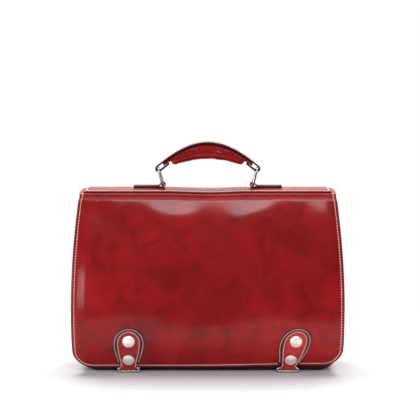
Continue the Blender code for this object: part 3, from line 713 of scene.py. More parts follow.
def build_flap():
    """The flap's leather from its foot to the middle of the lid, its lining and its stitches."""
    outer, inner = flap_grid(0.0, FLAP.length, 0.0, LEATHER)
    leather = grid_solid("flap_leather", outer, inner, [RED, PAINT, FLESH], painted=PAINTED)
    fit(leather, ["flap_front"])
    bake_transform(leather)
    end = FRONT_END - LINING_MARGIN
    outer, inner = flap_grid(LINING_MARGIN, end, -LEATHER - GAP, LINING)
    lining = grid_solid("flap_suede", outer, inner, [SUEDE, SUEDE, SUEDE])
    fit(lining, ["flap_lining"], "flap_front")
    spots, outs = flap_stitch_line(-LEATHER, FRONT_END)
    lines = [flap_stitch_line(0.0, FLAP.length - THREAD_SHORT), (spots, -outs)]
    thread = sew("flap_thread", lines)
    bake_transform(thread)


def back_place(x, s, lift=0.0):
    return settle(to_space(x, BACK.at(s, lift)))


def build_flap_back():
    """The leather that goes on over the lid and down the back, and its stitches."""
    s = rises(BACK.length)
    x, rows = rows_up(np.full(len(s), FLAP_HALF_TOP), s)
    depth = np.minimum(FLAP_HALF_TOP - np.abs(x), rows)
    share = rim_share(depth, LEATHER)
    dent = GROOVE * bell(depth - STITCH_INSET, GROOVE_WIDTH)
    outer = back_place(x, rows, -LEATHER / 2 * (1 - share) - dent)
    inner = back_place(x, rows, -LEATHER / 2 * (1 + share))
    leather = grid_solid("flap_back_leather", outer, inner, [RED, PAINT, FLESH], painted=PAINTED)
    fit(leather, ["flap_back", "flap_top"])
    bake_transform(leather)
    side = FLAP_HALF_TOP - STITCH_INSET
    up = np.linspace(STITCH_INSET, BACK.length - THREAD_SHORT, BACK_SIDE_STEPS)
    across = np.linspace(side, -side, SIDE_STEPS)
    edge = np.full(BACK_SIDE_STEPS, side)
    foot = np.full(SIDE_STEPS - 2, STITCH_INSET)
    border = np.concatenate([edge, across[1:-1], -edge]), np.concatenate([up[::-1], foot, up])
    second = across, np.full(SIDE_STEPS, 4 * STITCH_INSET)
    lines = [(back_place(xs, ss), to_space(0.0, BACK.normal(ss))) for xs, ss in (border, second)]
    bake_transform(sew("flap_back_thread", lines))


# The lid --------------------------------------------------------------------------------------------------

STRIP_STITCH = 0.0030
BORDER_STEP = 0.002


def plate(name, node, thickness, materials, groove=0.0):
    """A round-edged sheet that lies on the floor of a node's box, arched and settled with the lid."""
    low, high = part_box(node)
    middle, reach = (low.y + high.y) / 2, (high.y - low.y) / 2
    xs, ys = np.meshgrid(lateral(high.x), lateral(reach) + middle)
    depth = np.minimum(high.x - np.abs(xs), reach - np.abs(ys - middle))
    share = rim_share(depth, thickness)
    dent = groove * bell(depth - STRIP_STITCH, GROOVE_WIDTH)
    mid, rise = low.z + thickness / 2, lid_rise(ys)
    outer = np.stack([xs, ys, mid + thickness / 2 * share - dent + rise], axis=-1)
    inner = np.stack([xs, ys, mid - thickness / 2 * share + rise], axis=-1)
    return grid_solid(name, settle(outer), settle(inner), materials), outer


def border_line(node, lift, up):
    """A line of stitches round a flat node of the lid, at a lift over its floor."""
    floor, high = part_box(node)
    x, low, top = high.x - STRIP_STITCH, floor.y + STRIP_STITCH, high.y - STRIP_STITCH
    corners = [(-x, low), (x, low), (x, top), (-x, top), (-x, low)]
    spots = []
    for (xa, ya), (xb, yb) in zip(corners, corners[1:]):
        count = int(math.hypot(xb - xa, yb - ya) / BORDER_STEP)
        for t in np.arange(count) / count:
            spots.append((xa + (xb - xa) * t, ya + (yb - ya) * t, floor.z + lift))
    spots = np.array(spots + spots[:1])
    spots[:, 2] += lid_rise(spots[:, 1])
    return settle(spots), np.tile((0.0, 0.0, up), (len(spots), 1))


def build_lid():
    strip = plate("lid_strip", "top_strip", STRIP, [RED, PAINT, FLESH], GROOVE)[0]
    fit(strip, ["top_strip"], "flap_top")
    cover, grid = plate("lid_suede", "top_lining", LINING, [SUEDE, SUEDE, SUEDE])
    fit(cover, ["top_lining"], "flap_top")
    board = plate("lid_board", "top_board", BOARD_THICK, [BOARD, BOARD, BOARD])[0]
    fit(board, ["top_board"], "flap_top")
    lines = [border_line("top_strip", STRIP, 1.0), border_line("top_lining", 0.0, -1.0)]
    sew("lid_thread", lines, body="flap_top")


# The body -------------------------------------------------------------------------------------------------

PANEL_STITCH = 0.0038
PANEL_WAVE = 0.0012
PANEL_WAVE_LENGTH = 0.08
PANEL_WAVE_RISE = 0.07
PANEL_FADE = 0.03
PANEL_SEEDS = {"front": 21.0, "back": 34.0}
FACING_INSET = 0.005
FACING_GROOVE = GROOVE * 0.7
LINE_STEPS = 200
SEAM_STEPS = 100
GUSSET_BOW = 0.0060
GUSSET_BOW_RISE = 0.12
GUSSET_SHARES = (0.0, 0.004, 0.012, 0.03, *np.linspace(0.06, 0.94, 26), 0.97, 0.988, 0.996, 1.0)
LINING_INSET = LEATHER + GAP + BOARD_THICK + GAP
LINING_ROUND = 0.006
LINING_FROM = 0.0315
LINING_LOOPS = 40
FLOOR_TURNS = 10
DIVIDER_WAVE = 0.0012
DIVIDER_SEED = 52.0
DIVIDER_STEPS = 160
POCKET_WALL = 0.0012
POCKET_ROUND = 0.004
POCKET_PUFF = 0.0008
POCKET_SEAMS = (0.003, 0.012)


def upright(x, middle, z, out, thickness, depth, dent=0.0):
    """The face and the back of an upright sheet that looks along Y, in the direction of out."""
    share = rim_share(np.clip(depth, 0, None), thickness)
    face = np.stack([x, middle + out * (thickness / 2 * share - dent), z], axis=-1)
    back = np.stack([x, middle - out * thickness / 2 * share, z], axis=-1)
    return face, back


def panel_lines(surface, inward, high):
    """Stitches up a panel's two sides."""
    z = np.linspace(BODY_CORNER, high, SEAM_STEPS)
    out = np.tile((0.0, -inward, 0.0), (SEAM_STEPS, 1))
    x, y = body_side(z) - PANEL_STITCH, surface(z)
    return [(settle(np.stack([sign * x, y, z], axis=-1)), out) for sign in (-1, 1)]


def mouth_line(surface, inward, height, near, margin, outward):
    """Stitches across a panel at a height."""
    xs = np.linspace(-1, 1, LINE_STEPS) * (body_side(height) - margin)
    zs = np.full(LINE_STEPS, height)
    spots = np.stack([xs, surface(zs) + inward * near, zs], axis=-1)
    return settle(spots), np.tile((0.0, outward, 0.0), (LINE_STEPS, 1))


def build_panel(name, surface, inward):
    """A front or back panel in its soft waves. Returns its stitches."""
    z = rises(BODY_HEIGHT)
    x, rows = rows_up(body_side(z) - corner_loss(z, BODY_CORNER), z)
    depth = np.minimum(edge_depth(x, rows, body_side(rows), BODY_CORNER), BODY_HEIGHT - rows + LEATHER / 4)
    depth = np.clip(depth, 0, None)
    waves = PANEL_WAVE * wander(x / PANEL_WAVE_LENGTH, rows / PANEL_WAVE_RISE, PANEL_SEEDS[name])
    middle = surface(rows) + inward * (LEATHER / 2 + waves * smooth(depth / PANEL_FADE))
    dent = GROOVE * bell(depth - PANEL_STITCH, GROOVE_WIDTH)
    outer, inner = upright(x, middle, rows, -inward, LEATHER, depth, dent)
    # The panel's leather carries painted shade along its foot.
    panel = grid_solid(name + "_leather", settle(outer), settle(inner), [FOOT_SHADED_LEATHER, PAINT, FLESH])
    fit(panel, [name + "_panel"], "body")
    top = BODY_HEIGHT - PANEL_STITCH
    return panel_lines(surface, inward, top) + [mouth_line(surface, inward, top, 0.0, PANEL_STITCH, -inward)]


def build_facing(name, surface, inward):
    """The leather that faces the inside of the mouth. Returns its stitches."""
    low = BODY_HEIGHT - FACING_HEIGHT + GAP
    z = rises(BODY_HEIGHT - low) + low
    half = body_side(z) - FACING_INSET
    x, rows = rows_up(half, z)
    depth = np.minimum(half[:, None] - np.abs(x), np.minimum(rows - low, BODY_HEIGHT - rows))
    dent = FACING_GROOVE * bell(depth - PANEL_STITCH, GROOVE_WIDTH)
    middle = surface(rows) + inward * (SEAM + FACING / 2)
    seen, hidden = upright(x, middle, rows, inward, FACING, depth, dent)
    facing = grid_solid(name + "_facing", settle(seen), settle(hidden), [BRIGHT, PAINT, FLESH])
    fit(facing, ["facing_" + name], "body")
    heights = (BODY_HEIGHT - PANEL_STITCH, low + PANEL_STITCH)
    margin = FACING_INSET + PANEL_STITCH
    return [mouth_line(surface, inward, height, SEAM + FACING, margin, inward) for height in heights]


def build_panels():
    lines = []
    for wall in (("front", front_y, 1), ("back", back_y, -1)):
        lines += build_panel(*wall) + build_facing(*wall)
    sew("body_thread", lines, body="body")


def body_path(inset):
    """The U that the gusset follows in XZ, from the left mouth to the right, and its outward directions."""
    up = np.linspace(BODY_CORNER, BODY_HEIGHT, 60)
    turns = np.linspace(0, math.pi / 2, 14)[1:]
    radius = BODY_CORNER - inset
    z = np.concatenate([up[::-1], BODY_CORNER - radius * np.sin(turns)])
    x = body_side(z) - inset
    x[len(up) :] -= radius * (1 - np.cos(turns))
    bent = np.stack([np.cos(turns), -np.sin(turns)], axis=-1)
    out = np.vstack([np.tile((1.0, 0.0), (len(up), 1)), bent])
    along = np.linspace(-x[-1], x[-1], 90)[1:-1]
    base = np.stack([along, np.full(len(along), inset)], axis=-1)
    right = np.stack([x, z], axis=-1)
    mirror = np.array([-1.0, 1.0])
    down = np.tile((0.0, -1.0), (len(along), 1))
    return np.vstack([right * mirror, base, right[::-1]]), np.vstack([out * mirror, down, out[::-1]])


def gusset_bow(z, share):
    """How far the gusset folds in between the panels, deepest half way and towards the mouth."""
    return GUSSET_BOW * smooth((z - BODY_CORNER) / GUSSET_BOW_RISE) * np.sin(math.pi * share) ** 1.4


def gusset_grid(inset):
    path, out = body_path(inset)
    share = np.array(GUSSET_SHARES)[None, :]
    z = np.repeat(path[:, 1:], share.size, axis=1)
    flat = path[:, None, :] - out[:, None, :] * gusset_bow(z, share)[..., None]
    near, far = front_y(z) + SEAM, back_y(z) - SEAM
    return settle(np.stack([flat[..., 0], near + (far - near) * share, flat[..., 1]], axis=-1))


def build_gusset():
    # The gusset's leather carries painted shade along its foot.
    gusset = grid_solid("gusset_leather", gusset_grid(0.0), gusset_grid(LEATHER), [FOOT_SHADED_LEATHER, PAINT, FLESH])
    fit(gusset, ["gusset_left", "gusset_right", "gusset_base"], "body")


def round_corners(half, near, far, radius, steps):
    """Points round four corners of a radius, centred at x minus and plus half and at y near and far."""
    spots = []
    for quarter, (x, y) in enumerate(((half, near), (half, far), (-half, far), (-half, near)), start=-1):
        for k in range(steps + 1):
            turn = math.pi / 2 * (quarter + k / steps)
            spots.append((x + radius * math.cos(turn), y + radius * math.sin(turn)))
    return spots


def divided(loop, parts):
    """The loop with the stretch between each two points cut into as many parts as parts says."""
    spots = []
    for (xa, ya), (xb, yb) in zip(loop, loop[1:] + loop[:1]):
        count = parts(abs(xb - xa), abs(yb - ya))
        spots += [(xa + (xb - xa) * k / count, ya + (yb - ya) * k / count) for k in range(count)]
    return spots


def tub_loop(z, inset):
    """A loop round the inside of the body at a height, with soft corners and the gusset's fold."""
    half = float(body_side(z) - corner_loss(z, BODY_CORNER, inset))
    near, far = float(front_y(z)) + inset, float(back_y(z)) - inset
    radius = min(LINING_ROUND, half / 2)

    def parts(dx, dy):
        return 1 if math.hypot(dx, dy) <= 2 * LINING_ROUND else 40 if dx > dy else 14

    loop = divided(round_corners(half - radius, near + radius, far - radius, radius, 6), parts)
    spots = np.array([(x, y, z) for x, y in loop])
    share = np.clip((spots[:, 1] - near) / (far - near), 0, 1)
    at_end = smooth((np.abs(spots[:, 0]) - half + 3 * radius) / (2 * radius))
    spots[:, 0] -= np.sign(spots[:, 0]) * gusset_bow(z, share) * at_end
    return spots


def build_lining():
    top = BODY_HEIGHT - FACING_HEIGHT
    walls = list(np.linspace(LINING_FROM, top, LINING_LOOPS))
    turns = np.cos(np.linspace(0, math.pi / 2, FLOOR_TURNS))
    loops = []
    for inset, step in ((LINING_INSET, 1), (LINING_INSET + LINING, -1)):
        heights = list(BODY_CORNER - (BODY_CORNER - inset) * turns) + walls
        loops += [tub_loop(z, inset) for z in heights[::step]]
    lining = loft("body_suede", settle(np.array(loops)), [SUEDE])
    fit(lining, ["lining"], "body")


def build_divider():
    low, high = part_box("divider")
    inset = LINING_INSET + LINING + 2 * GAP
    z = rises(high.z - low.z) + low.z
    side = body_side(z) - corner_loss(z, BODY_CORNER, inset) - 0.003 * smooth((z - BODY_CORNER) / 0.1)
    x, rows = rows_up(side, z)
    depth = np.minimum(side[:, None] - np.abs(x), np.minimum(rows - low.z, high.z - rows))

    def middle(across, height):
        return (low.y + high.y) / 2 + DIVIDER_WAVE * wander(across / 0.11, height / 0.1, DIVIDER_SEED)

    outer, inner = upright(x, middle(x, rows), rows, -1, DIVIDER, depth)
    divider = grid_solid("divider_suede", outer, inner, [SUEDE, PAINT, SUEDE])
    fit(divider, ["divider"], "body")
    top = np.full(DIVIDER_STEPS, high.z - PANEL_STITCH)
    xs = np.linspace(-1, 1, DIVIDER_STEPS) * (side[-1] - PANEL_STITCH)
    lines = []
    for sign in (-1, 1):
        spots = np.stack([xs, middle(xs, top) + sign * DIVIDER / 2, top], axis=-1)
        lines.append((spots, np.tile((0.0, sign, 0.0), (DIVIDER_STEPS, 1))))
    sew("divider_thread", lines, body="body")


def build_pocket():
    low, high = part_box("inner_pocket")
    half, near, far = high.x - POCKET_ROUND, low.y + POCKET_ROUND, high.y - POCKET_ROUND

    def puff(z):
        return POCKET_PUFF * math.sin(math.pi * np.clip((z - low.z) / (high.z - low.z), 0, 1))

    def loop(z, inset):
        corners = round_corners(half, near - puff(z), far, POCKET_ROUND - inset, 4)
        spots = divided(corners, lambda dx, dy: 24 if dx > 2 * POCKET_ROUND else 1)
        return [(x, y, z) for x, y in spots]

    heights = list(np.linspace(low.z, high.z, 20))
    outer = [loop(z, 0.0) for z in heights]
    inner = [loop(z, POCKET_WALL) for z in [low.z + POCKET_WALL] + heights[1:]]
    pocket = loft("slip_pocket_suede", outer + inner[::-1], [SUEDE])
    fit(pocket, ["inner_pocket"], "body")
    xs = np.linspace(-half, half, 90)
    lines = []
    for z in (high.z - drop for drop in POCKET_SEAMS):
        spots = np.stack([xs, np.full(90, low.y - puff(z)), np.full(90, z)], axis=-1)
        lines.append((spots, np.tile((0.0, -1.0, 0.0), (90, 1))))
    sew("slip_pocket_thread", lines, body="body")


# The closures ---------------------------------------------------------------------------------------------

SIDES = {"left": -1, "right": 1}
ACROSS_X = Vector((1, 0, 0))
ACROSS_Y = Vector((0, 1, 0))
UPRIGHT = Vector((0, 0, 1))
TAB_PLACE = {"left": -0.1165, "right": 0.1175}
TAB_LEAN = {"left": 0.02, "right": 0.24}
TAB_TOP = 0.0620
TAB_HALF = 0.0175
TAB_NECK_HALF = 0.0111
TAB_TAIL_END = 0.0280
TAB_TAIL_INSET = 0.0010
TAB_STITCH = 0.0017
TAB_CROWN = 0.0003
TAB_STEPS = 22
THREAD_STEPS = 24
THREAD_LIFT = 0.0001
STRAP_DENT = 0.00016
STRAP_DENT_WIDTH = 0.0006
CROWN_TURNS = (6, 12, 20, 28, 36, 45, 54, 63, 72, 81, 90)
PATCH_TOP = 0.0660
PATCH_BOTTOM = 0.0078
PATCH_THREAD_END = PATCH_BOTTOM + 0.005
PATCH_STEPS = 16
PATCH_HALF = 0.0232
PATCH_NECK_HALF = 0.0155
PATCH_STITCH = 0.0022
NECK_RISE = 0.0020
WIDE_RISE = 0.0420
SNAP_RISE = 0.0467
RIVET_RISE = 0.0185
CAP_RADIUS = 0.0088
CAP_HEIGHT = 0.0028
CAP_ROLL = 0.0005
CAP_RIM = 0.0008
CAP_FOOT = 0.0009
TURNED_SIDES = 40
AXIS_HOLE = 0.0002
BEVEL = 0.0002
STUD_BEVEL = 0.00012
SHANK_RADIUS = 0.0020
SOCKET_RADIUS = 0.0070
SOCKET_DEPTH = 0.0017
SOCKET_BORE = 0.0048
SOCKET_FLOOR = 0.0006
STUD_RADIUS = 0.0035
STUD_NECK = 0.0026
STUD_FLANGE = 0.0055
STUD_REACH = 0.0016
STUD_RIM = 0.0005
BURR_RADIUS = 0.0045
BURR = 0.0010
CURL_CLEAR = 0.0005
CLOSURE_WIRE = 0.0013
CLOSURE_BAR_RISE = 0.0022
BAR_CLEAR = 0.0004
BAR_SWELL = 0.0035
PATCH_FACE = GAP + PATCH
TAIL_LIFT = PATCH_FACE + GAP + TAB / 2
FRONT_LIFT = TAIL_LIFT + TAB + GAP
TAB_BEND = CLOSURE_WIRE + BAR_CLEAR + TAB / 2
BAR_LIFT = TAB_BEND + TAB / 2 + GAP
FLAP_BACK_FACE = -LEATHER - GAP - LINING


def tab_x(name, rise):
    return TAB_PLACE[name] + TAB_LEAN[name] * np.clip(rise, 0, None)


def on_closure(name, rise, lift, across=0.0):
    """A point on a closure, in space."""
    return to_space(tab_x(name, rise) + across, FLAP.at(np.asarray(rise, float), lift))


def closure_out(rise):
    return Vector((0.0, *FLAP.normal(np.asarray(rise))))


def teardrop(rise, top, half, neck_half):
    """Half the width of a tab that is round at the top and narrows to a neck."""
    down = top - rise
    if down < half:
        return math.sqrt(max(half**2 - (half - down) ** 2, 0.0))
    return neck_half + (half - neck_half) * float(smooth((rise - NECK_RISE) / (WIDE_RISE - NECK_RISE)))


def teardrop_rises(top, half, bottom, steps):
    """Rises down a teardrop: close round its top, then even."""
    crown = [top - half * (1 - math.cos(math.radians(turn))) for turn in CROWN_TURNS]
    return crown + [crown[-1] + (bottom - crown[-1]) * k / steps for k in range(1, steps + 1)]


def band_section(half, thickness, stitch=0.0, crown=0.0):
    """Places and heights round a strap's rounded section, and the kind of each side: face, edge, back."""
    r = min(thickness / 2, half * 0.9)
    flat = half - r
    marks = [share * flat for share in (0.0, 0.35, 0.7, 0.86, 0.93, 1.0)]
    across = [-m for m in marks[:0:-1]] + marks
    section = []
    for u in across:
        dent = STRAP_DENT * bell(half - abs(u) - stitch, STRAP_DENT_WIDTH) if stitch else 0.0
        section.append((u, thickness / 2 + crown * (1 - (u / flat) ** 2) - dent))
    turns = [math.pi / 2 - math.pi * k / 4 for k in (1, 2, 3)]
    rim = [(flat + r * math.cos(turn), r * math.sin(turn)) for turn in turns]
    section += rim + [(u, -thickness / 2) for u in across[::-1]] + [(-u, w) for u, w in rim[::-1]]
    sides = len(across) - 1
    return section, [0] * sides + [1] * 4 + [2] * sides + [1] * 4


def band(name, stations, thickness, materials, stitch=0.0, crown=0.0):
    """A strap through stations of a centre, an across and an outward direction, and a half width."""
    loops = []
    for centre, across, out, half in stations:
        section, kinds = band_section(half, thickness, stitch, crown)
        loops.append([Vector(centre) + Vector(across) * u + Vector(out) * w for u, w in section])
    return loft(name, loops, materials, kinds)


def tab_front_lift(rise):
    """How far the middle of the tab's front layer stands off the flap: over its tail, then over the ring."""
    over_tail = float(smooth((TAB_TAIL_END + 3 * TAB - rise) / (2 * TAB)))
    over_bar = 1 - float(smooth((rise - CLOSURE_BAR_RISE) / BAR_SWELL))
    lift = TAIL_LIFT + (FRONT_LIFT - TAIL_LIFT) * over_tail
    return lift + (BAR_LIFT + TAB_BEND - FRONT_LIFT) * over_bar


def build_patch(name):
    stations = []
    for rise in teardrop_rises(PATCH_TOP, PATCH_HALF, PATCH_BOTTOM, PATCH_STEPS):
        half = teardrop(rise, PATCH_TOP, PATCH_HALF, PATCH_NECK_HALF)
        stations.append((on_closure(name, rise, GAP + PATCH / 2), ACROSS_X, closure_out(rise), half))
    patch = band("closure_backing_" + name, stations, PATCH, [DEEP, PAINT, FLESH], PATCH_STITCH)
    fit(patch, ["closure_patch_" + name], "flap_front")
    shape = PATCH_TOP, PATCH_HALF, PATCH_NECK_HALF
    return teardrop_line(name, shape, PATCH_THREAD_END, PATCH_STITCH, lambda rise: PATCH_FACE)


def teardrop_line(name, shape, bottom, inset, lift):
    """Stitches up one side of a teardrop, round its top and down the other side."""
    top, half, neck_half = (size - inset for size in shape)
    marks = teardrop_rises(top, half, bottom, THREAD_STEPS)[::-1]
    spots, outs = [], []
    for sign, order in ((-1, marks), (1, marks[::-1])):
        for rise in order:
            spots.append(on_closure(name, rise, lift(rise), sign * teardrop(rise, top, half, neck_half)))
            outs.append(tuple(closure_out(rise)))
    return np.array(spots), np.array(outs)


def build_tab(name):
    """A tab that comes down over its patch, round the ring's bar and up behind itself."""
    shape = TAB_TOP, TAB_HALF, TAB_NECK_HALF
    stations = []
    for rise in teardrop_rises(TAB_TOP, TAB_HALF, CLOSURE_BAR_RISE + BAR_SWELL, TAB_STEPS):
        centre = on_closure(name, rise, tab_front_lift(rise))
        stations.append((centre, ACROSS_X, closure_out(rise), teardrop(rise, *shape)))
    bar = Vector(on_closure(name, CLOSURE_BAR_RISE, BAR_LIFT))
    out = closure_out(CLOSURE_BAR_RISE)
    down = Vector((0.0, -out.z, out.y))
    half = teardrop(CLOSURE_BAR_RISE, *shape)
    for turn in range(0, 181, 15):
        away = out * math.cos(math.radians(turn)) + down * math.sin(math.radians(turn))
        stations.append((bar + away * TAB_BEND, ACROSS_X, away, half))
    for rise in np.linspace(PATCH_BOTTOM - TAB, TAB_TAIL_END, 7):
        half = teardrop(rise, *shape) - TAB_TAIL_INSET
        stations.append((on_closure(name, rise, TAIL_LIFT), ACROSS_X, -closure_out(rise), half))
    tab = band("closure_strap_" + name, stations, TAB, [BRIGHT, PAINT, FLESH], TAB_STITCH, TAB_CROWN)
    fit(tab, ["closure_tab_" + name], "flap_front")
    bottom = CLOSURE_BAR_RISE + BAR_SWELL * 1.3
    face = TAB / 2 + THREAD_LIFT
    return teardrop_line(name, shape, bottom, TAB_STITCH, lambda rise: tab_front_lift(rise) + face)


def turned(name, origin, axis, profile):
    """A metal solid turned round an axis from (radius, height) pairs."""
    first = axis.orthogonal().normalized()
    second = axis.cross(first)
    turns = [2 * math.pi * k / TURNED_SIDES for k in range(TURNED_SIDES)]
    rims = [first * math.cos(t) + second * math.sin(t) for t in turns]
    loops = [[origin + axis * h + rim * r for rim in rims] for r, h in profile]
    return loft(name, loops, [NICKEL])


def cap_profile(seat, end):
    """A shank, a rolled rim, a shallow ring and a dome with a soft flat in its middle."""
    profile = [(2 * AXIS_HOLE, end), (SHANK_RADIUS, end), (SHANK_RADIUS, seat), (CAP_RADIUS - 0.0004, seat)]
    for angle in map(math.radians, range(-60, 91, 30)):
        radius = CAP_RADIUS - CAP_ROLL + CAP_ROLL * math.cos(angle)
        profile.append((radius, seat + CAP_ROLL + CAP_ROLL * math.sin(angle)))
    for share in np.linspace(1.0, 0.06, 12):
        height = CAP_FOOT + (CAP_HEIGHT - CAP_FOOT) * (1 - share**2.6)
        profile.append(((CAP_RADIUS - CAP_RIM) * share, seat + height))
    return profile


def rounded(profile, bevel=BEVEL):
    """The profile with each corner cut by a small bevel."""
    spots = [Vector(p) for p in profile]
    result = [spots[0]]
    for before, spot, after in zip(spots, spots[1:], spots[2:]):
        for away in (before - spot, after - spot):
            result.append(spot + away * min(bevel / away.length, 0.4))
    return [tuple(p) for p in result + [spots[-1]]]


def disc(radius, top, thickness):
    foot = top - thickness
    return rounded([(AXIS_HOLE, top), (radius, top), (radius, foot), (AXIS_HOLE, foot)])


def build_studs(name):
    """A closure's press snap and rivet: what is on the flap, and the snap's other half on the body."""

    def stud(piece, node, rise, profile, body):
        origin = Vector(on_closure(name, rise, 0.0))
        metal = turned(piece + name, origin, closure_out(rise).normalized(), profile)
        fit(metal, [node + name], body)

    end = FLAP_BACK_FACE - CURL_CLEAR
    front = TAB / 2 + GAP
    stud("snap_dome_", "snap_cap_", SNAP_RISE, cap_profile(TAIL_LIFT + front, end), "flap_front")
    seat = tab_front_lift(RIVET_RISE) + front
    stud("rivet_dome_", "tab_rivet_", RIVET_RISE, cap_profile(seat, end), "flap_front")
    seat = end - GAP
    deep, floor = seat - SOCKET_DEPTH, seat - SOCKET_FLOOR
    socket = [(AXIS_HOLE, seat), (SOCKET_RADIUS, seat), (SOCKET_RADIUS, deep), (SOCKET_BORE, deep)]
    socket += [(SOCKET_BORE, floor), (AXIS_HOLE, floor)]
    stud("snap_ring_", "snap_socket_", SNAP_RISE, rounded(socket), "flap_front")
    stud("rivet_burr_", "tab_burr_", RIVET_RISE, disc(BURR_RADIUS, seat, BURR), "flap_front")
    flange = GAP - FLAP_STANDOFF
    rim, head = flange + STUD_RIM, flange + STUD_REACH
    foot = -FLAP_STANDOFF - LEATHER - CURL_CLEAR
    post = [(AXIS_HOLE, foot), (SHANK_RADIUS, foot), (SHANK_RADIUS, flange), (STUD_FLANGE, flange)]
    post += [(STUD_FLANGE, rim), (STUD_NECK, rim), (STUD_NECK, head - 0.0009), (STUD_RADIUS, head - 0.0006)]
    post += [(STUD_NECK, head), (AXIS_HOLE, head)]
    stud("snap_post_head_", "snap_stud_", SNAP_RISE, rounded(post, STUD_BEVEL), "body")
    stud("snap_back_", "snap_post_", SNAP_RISE, disc(STUD_FLANGE, foot - GAP, BURR), "body")


def wire_ring(name, node, centre, side, up, half_span, half_height, corner, wire):
    """A round wire bent to a rectangle with round corners."""
    face = side.cross(up)
    turns = [2 * math.pi * k / 20 for k in range(20)]
    loops = []
    for quarter, (sx, sz) in enumerate(((1, 1), (-1, 1), (-1, -1), (1, -1))):
        heart = side * sx * (half_span - corner) + up * sz * (half_height - corner)
        for step in range(9):
            angle = math.pi / 2 * (quarter + step / 8)
            out = side * math.cos(angle) + up * math.sin(angle)
            middle = centre + heart + out * corner
            loops.append([middle + (out * math.cos(a) + face * math.sin(a)) * wire for a in turns])
    fit(loft(name, loops, [WIRE], closed=True), [node], node)


def build_closures():
    patch_lines, tab_lines = [], []
    for name in SIDES:
        patch_lines.append(build_patch(name))
        tab_lines.append(build_tab(name))
        build_studs(name)
        node = "closure_ring_" + name
        low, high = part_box(node)
        half = (high - low) / 2
        span, height = half.x - CLOSURE_WIRE, half.z - CLOSURE_WIRE
        shape = span, height, CLOSURE_WIRE + BAR_CLEAR, CLOSURE_WIRE
        wire_ring("closure_wire_" + name, node, (low + high) / 2, ACROSS_X, UPRIGHT, *shape)
    sew("closure_thread", patch_lines + tab_lines, FINE_STITCH, "flap_front")


# The handle -----------------------------------------------------------------------------------------------

STRAP_WIDTH = 0.020
MOUNT_X = 0.0670
MOUNT_TAIL_X = 0.1100
MOUNT_LAYER = 0.0016
MOUNT_SETTLE = 0.0070
RING_WIRE = 0.0019
RING_HEIGHT = 0.0250
RING_LEAN = math.radians(14.2)
RING_CLEAR = 0.0007
RING_SIDE_CLEAR = 0.0012
RING_CORNER = 0.0045
HANDLE_STRAP = 0.0026
HANDLE_RISE = 0.0726
HANDLE_END_SLOPE = math.radians(39)
TAIL_REACH = 0.0165
ARCH_STEPS = 25
STRAP_STITCH = 0.0022
GRIP_HALF_LENGTH = 0.0555
GRIP_HEIGHT = 0.0245
GRIP_END_HEIGHT = 0.0140
GRIP_WIDTH = 0.0225
GRIP_END_WIDTH = 0.0180
GRIP_VOXEL = 0.0022
WEDGE_FROM = 0.0500
WEDGE_END = 0.0672
WEDGE_HEIGHT = 0.0062
WEDGE_WIDTH = 0.0160
STRAP_PRESS = 0.0003
GRIP_SLACK = 0.0010
GRIP_FRAMES = 20
GRIP_PRESSURE = 4.0
GRIP_SHRINK = 0.97
GRIP_SQUARENESS = 0.85
GRIP_SIDES = 28
GRIP_LOOPS = 75
FREE_FADE = 0.008
MOUNT_SEAT = TOP_OUTER + LID_CROWN + GAP + STRIP + GAP
MOUNT_BEND = RING_WIRE + RING_CLEAR + MOUNT_LAYER / 2
MOUNT_BAR = MOUNT_SEAT + MOUNT_LAYER / 2 + MOUNT_BEND
HANDLE_BEND = RING_WIRE + RING_CLEAR + HANDLE_STRAP / 2
HANDLE_BAR_X = MOUNT_X + RING_HEIGHT * math.sin(RING_LEAN)
HANDLE_BAR_Z = MOUNT_BAR + RING_HEIGHT * math.cos(RING_LEAN)
HANDLE_TOP = TOP_OUTER + HANDLE_RISE
END_X = HANDLE_BAR_X + HANDLE_BEND * math.sin(HANDLE_END_SLOPE)
END_DROP = HANDLE_TOP - HANDLE_STRAP / 2 - HANDLE_BAR_Z - HANDLE_BEND * math.cos(HANDLE_END_SLOPE)
ARCH_FOURTH = (math.tan(HANDLE_END_SLOPE) * END_X - 2 * END_DROP) / (2 * END_X**4)
ARCH_SECOND = END_DROP / END_X**2 - ARCH_FOURTH * END_X**2


def arch_height(x):
    return HANDLE_TOP - HANDLE_STRAP / 2 - ARCH_SECOND * x**2 - ARCH_FOURTH * x**4


def arch_slope(x):
    return math.atan(2 * ARCH_SECOND * x + 4 * ARCH_FOURTH * x**3)


def xz_stations(path, width, turn=1):
    """Stations of a strap that follows a path in XZ; with turn 1 it faces left of its run."""
    path = np.array(path)
    along = np.gradient(path, axis=0)
    along /= np.linalg.norm(along, axis=1)[:, None]
    return [
        (Vector((x, HANDLE_Y, z)), ACROSS_Y, Vector((-az, 0.0, ax)) * turn, width / 2)
        for (x, z), (ax, az) in zip(path, along)
    ]


def station_line(stations, thickness, sign):
    """Stitches along one edge of a strap."""
    spots = []
    for centre, across, out, half in stations:
        spots.append(tuple(centre + across * sign * (half - STRAP_STITCH) + out * thickness / 2))
    return np.array(spots), np.array([tuple(station[2]) for station in stations])


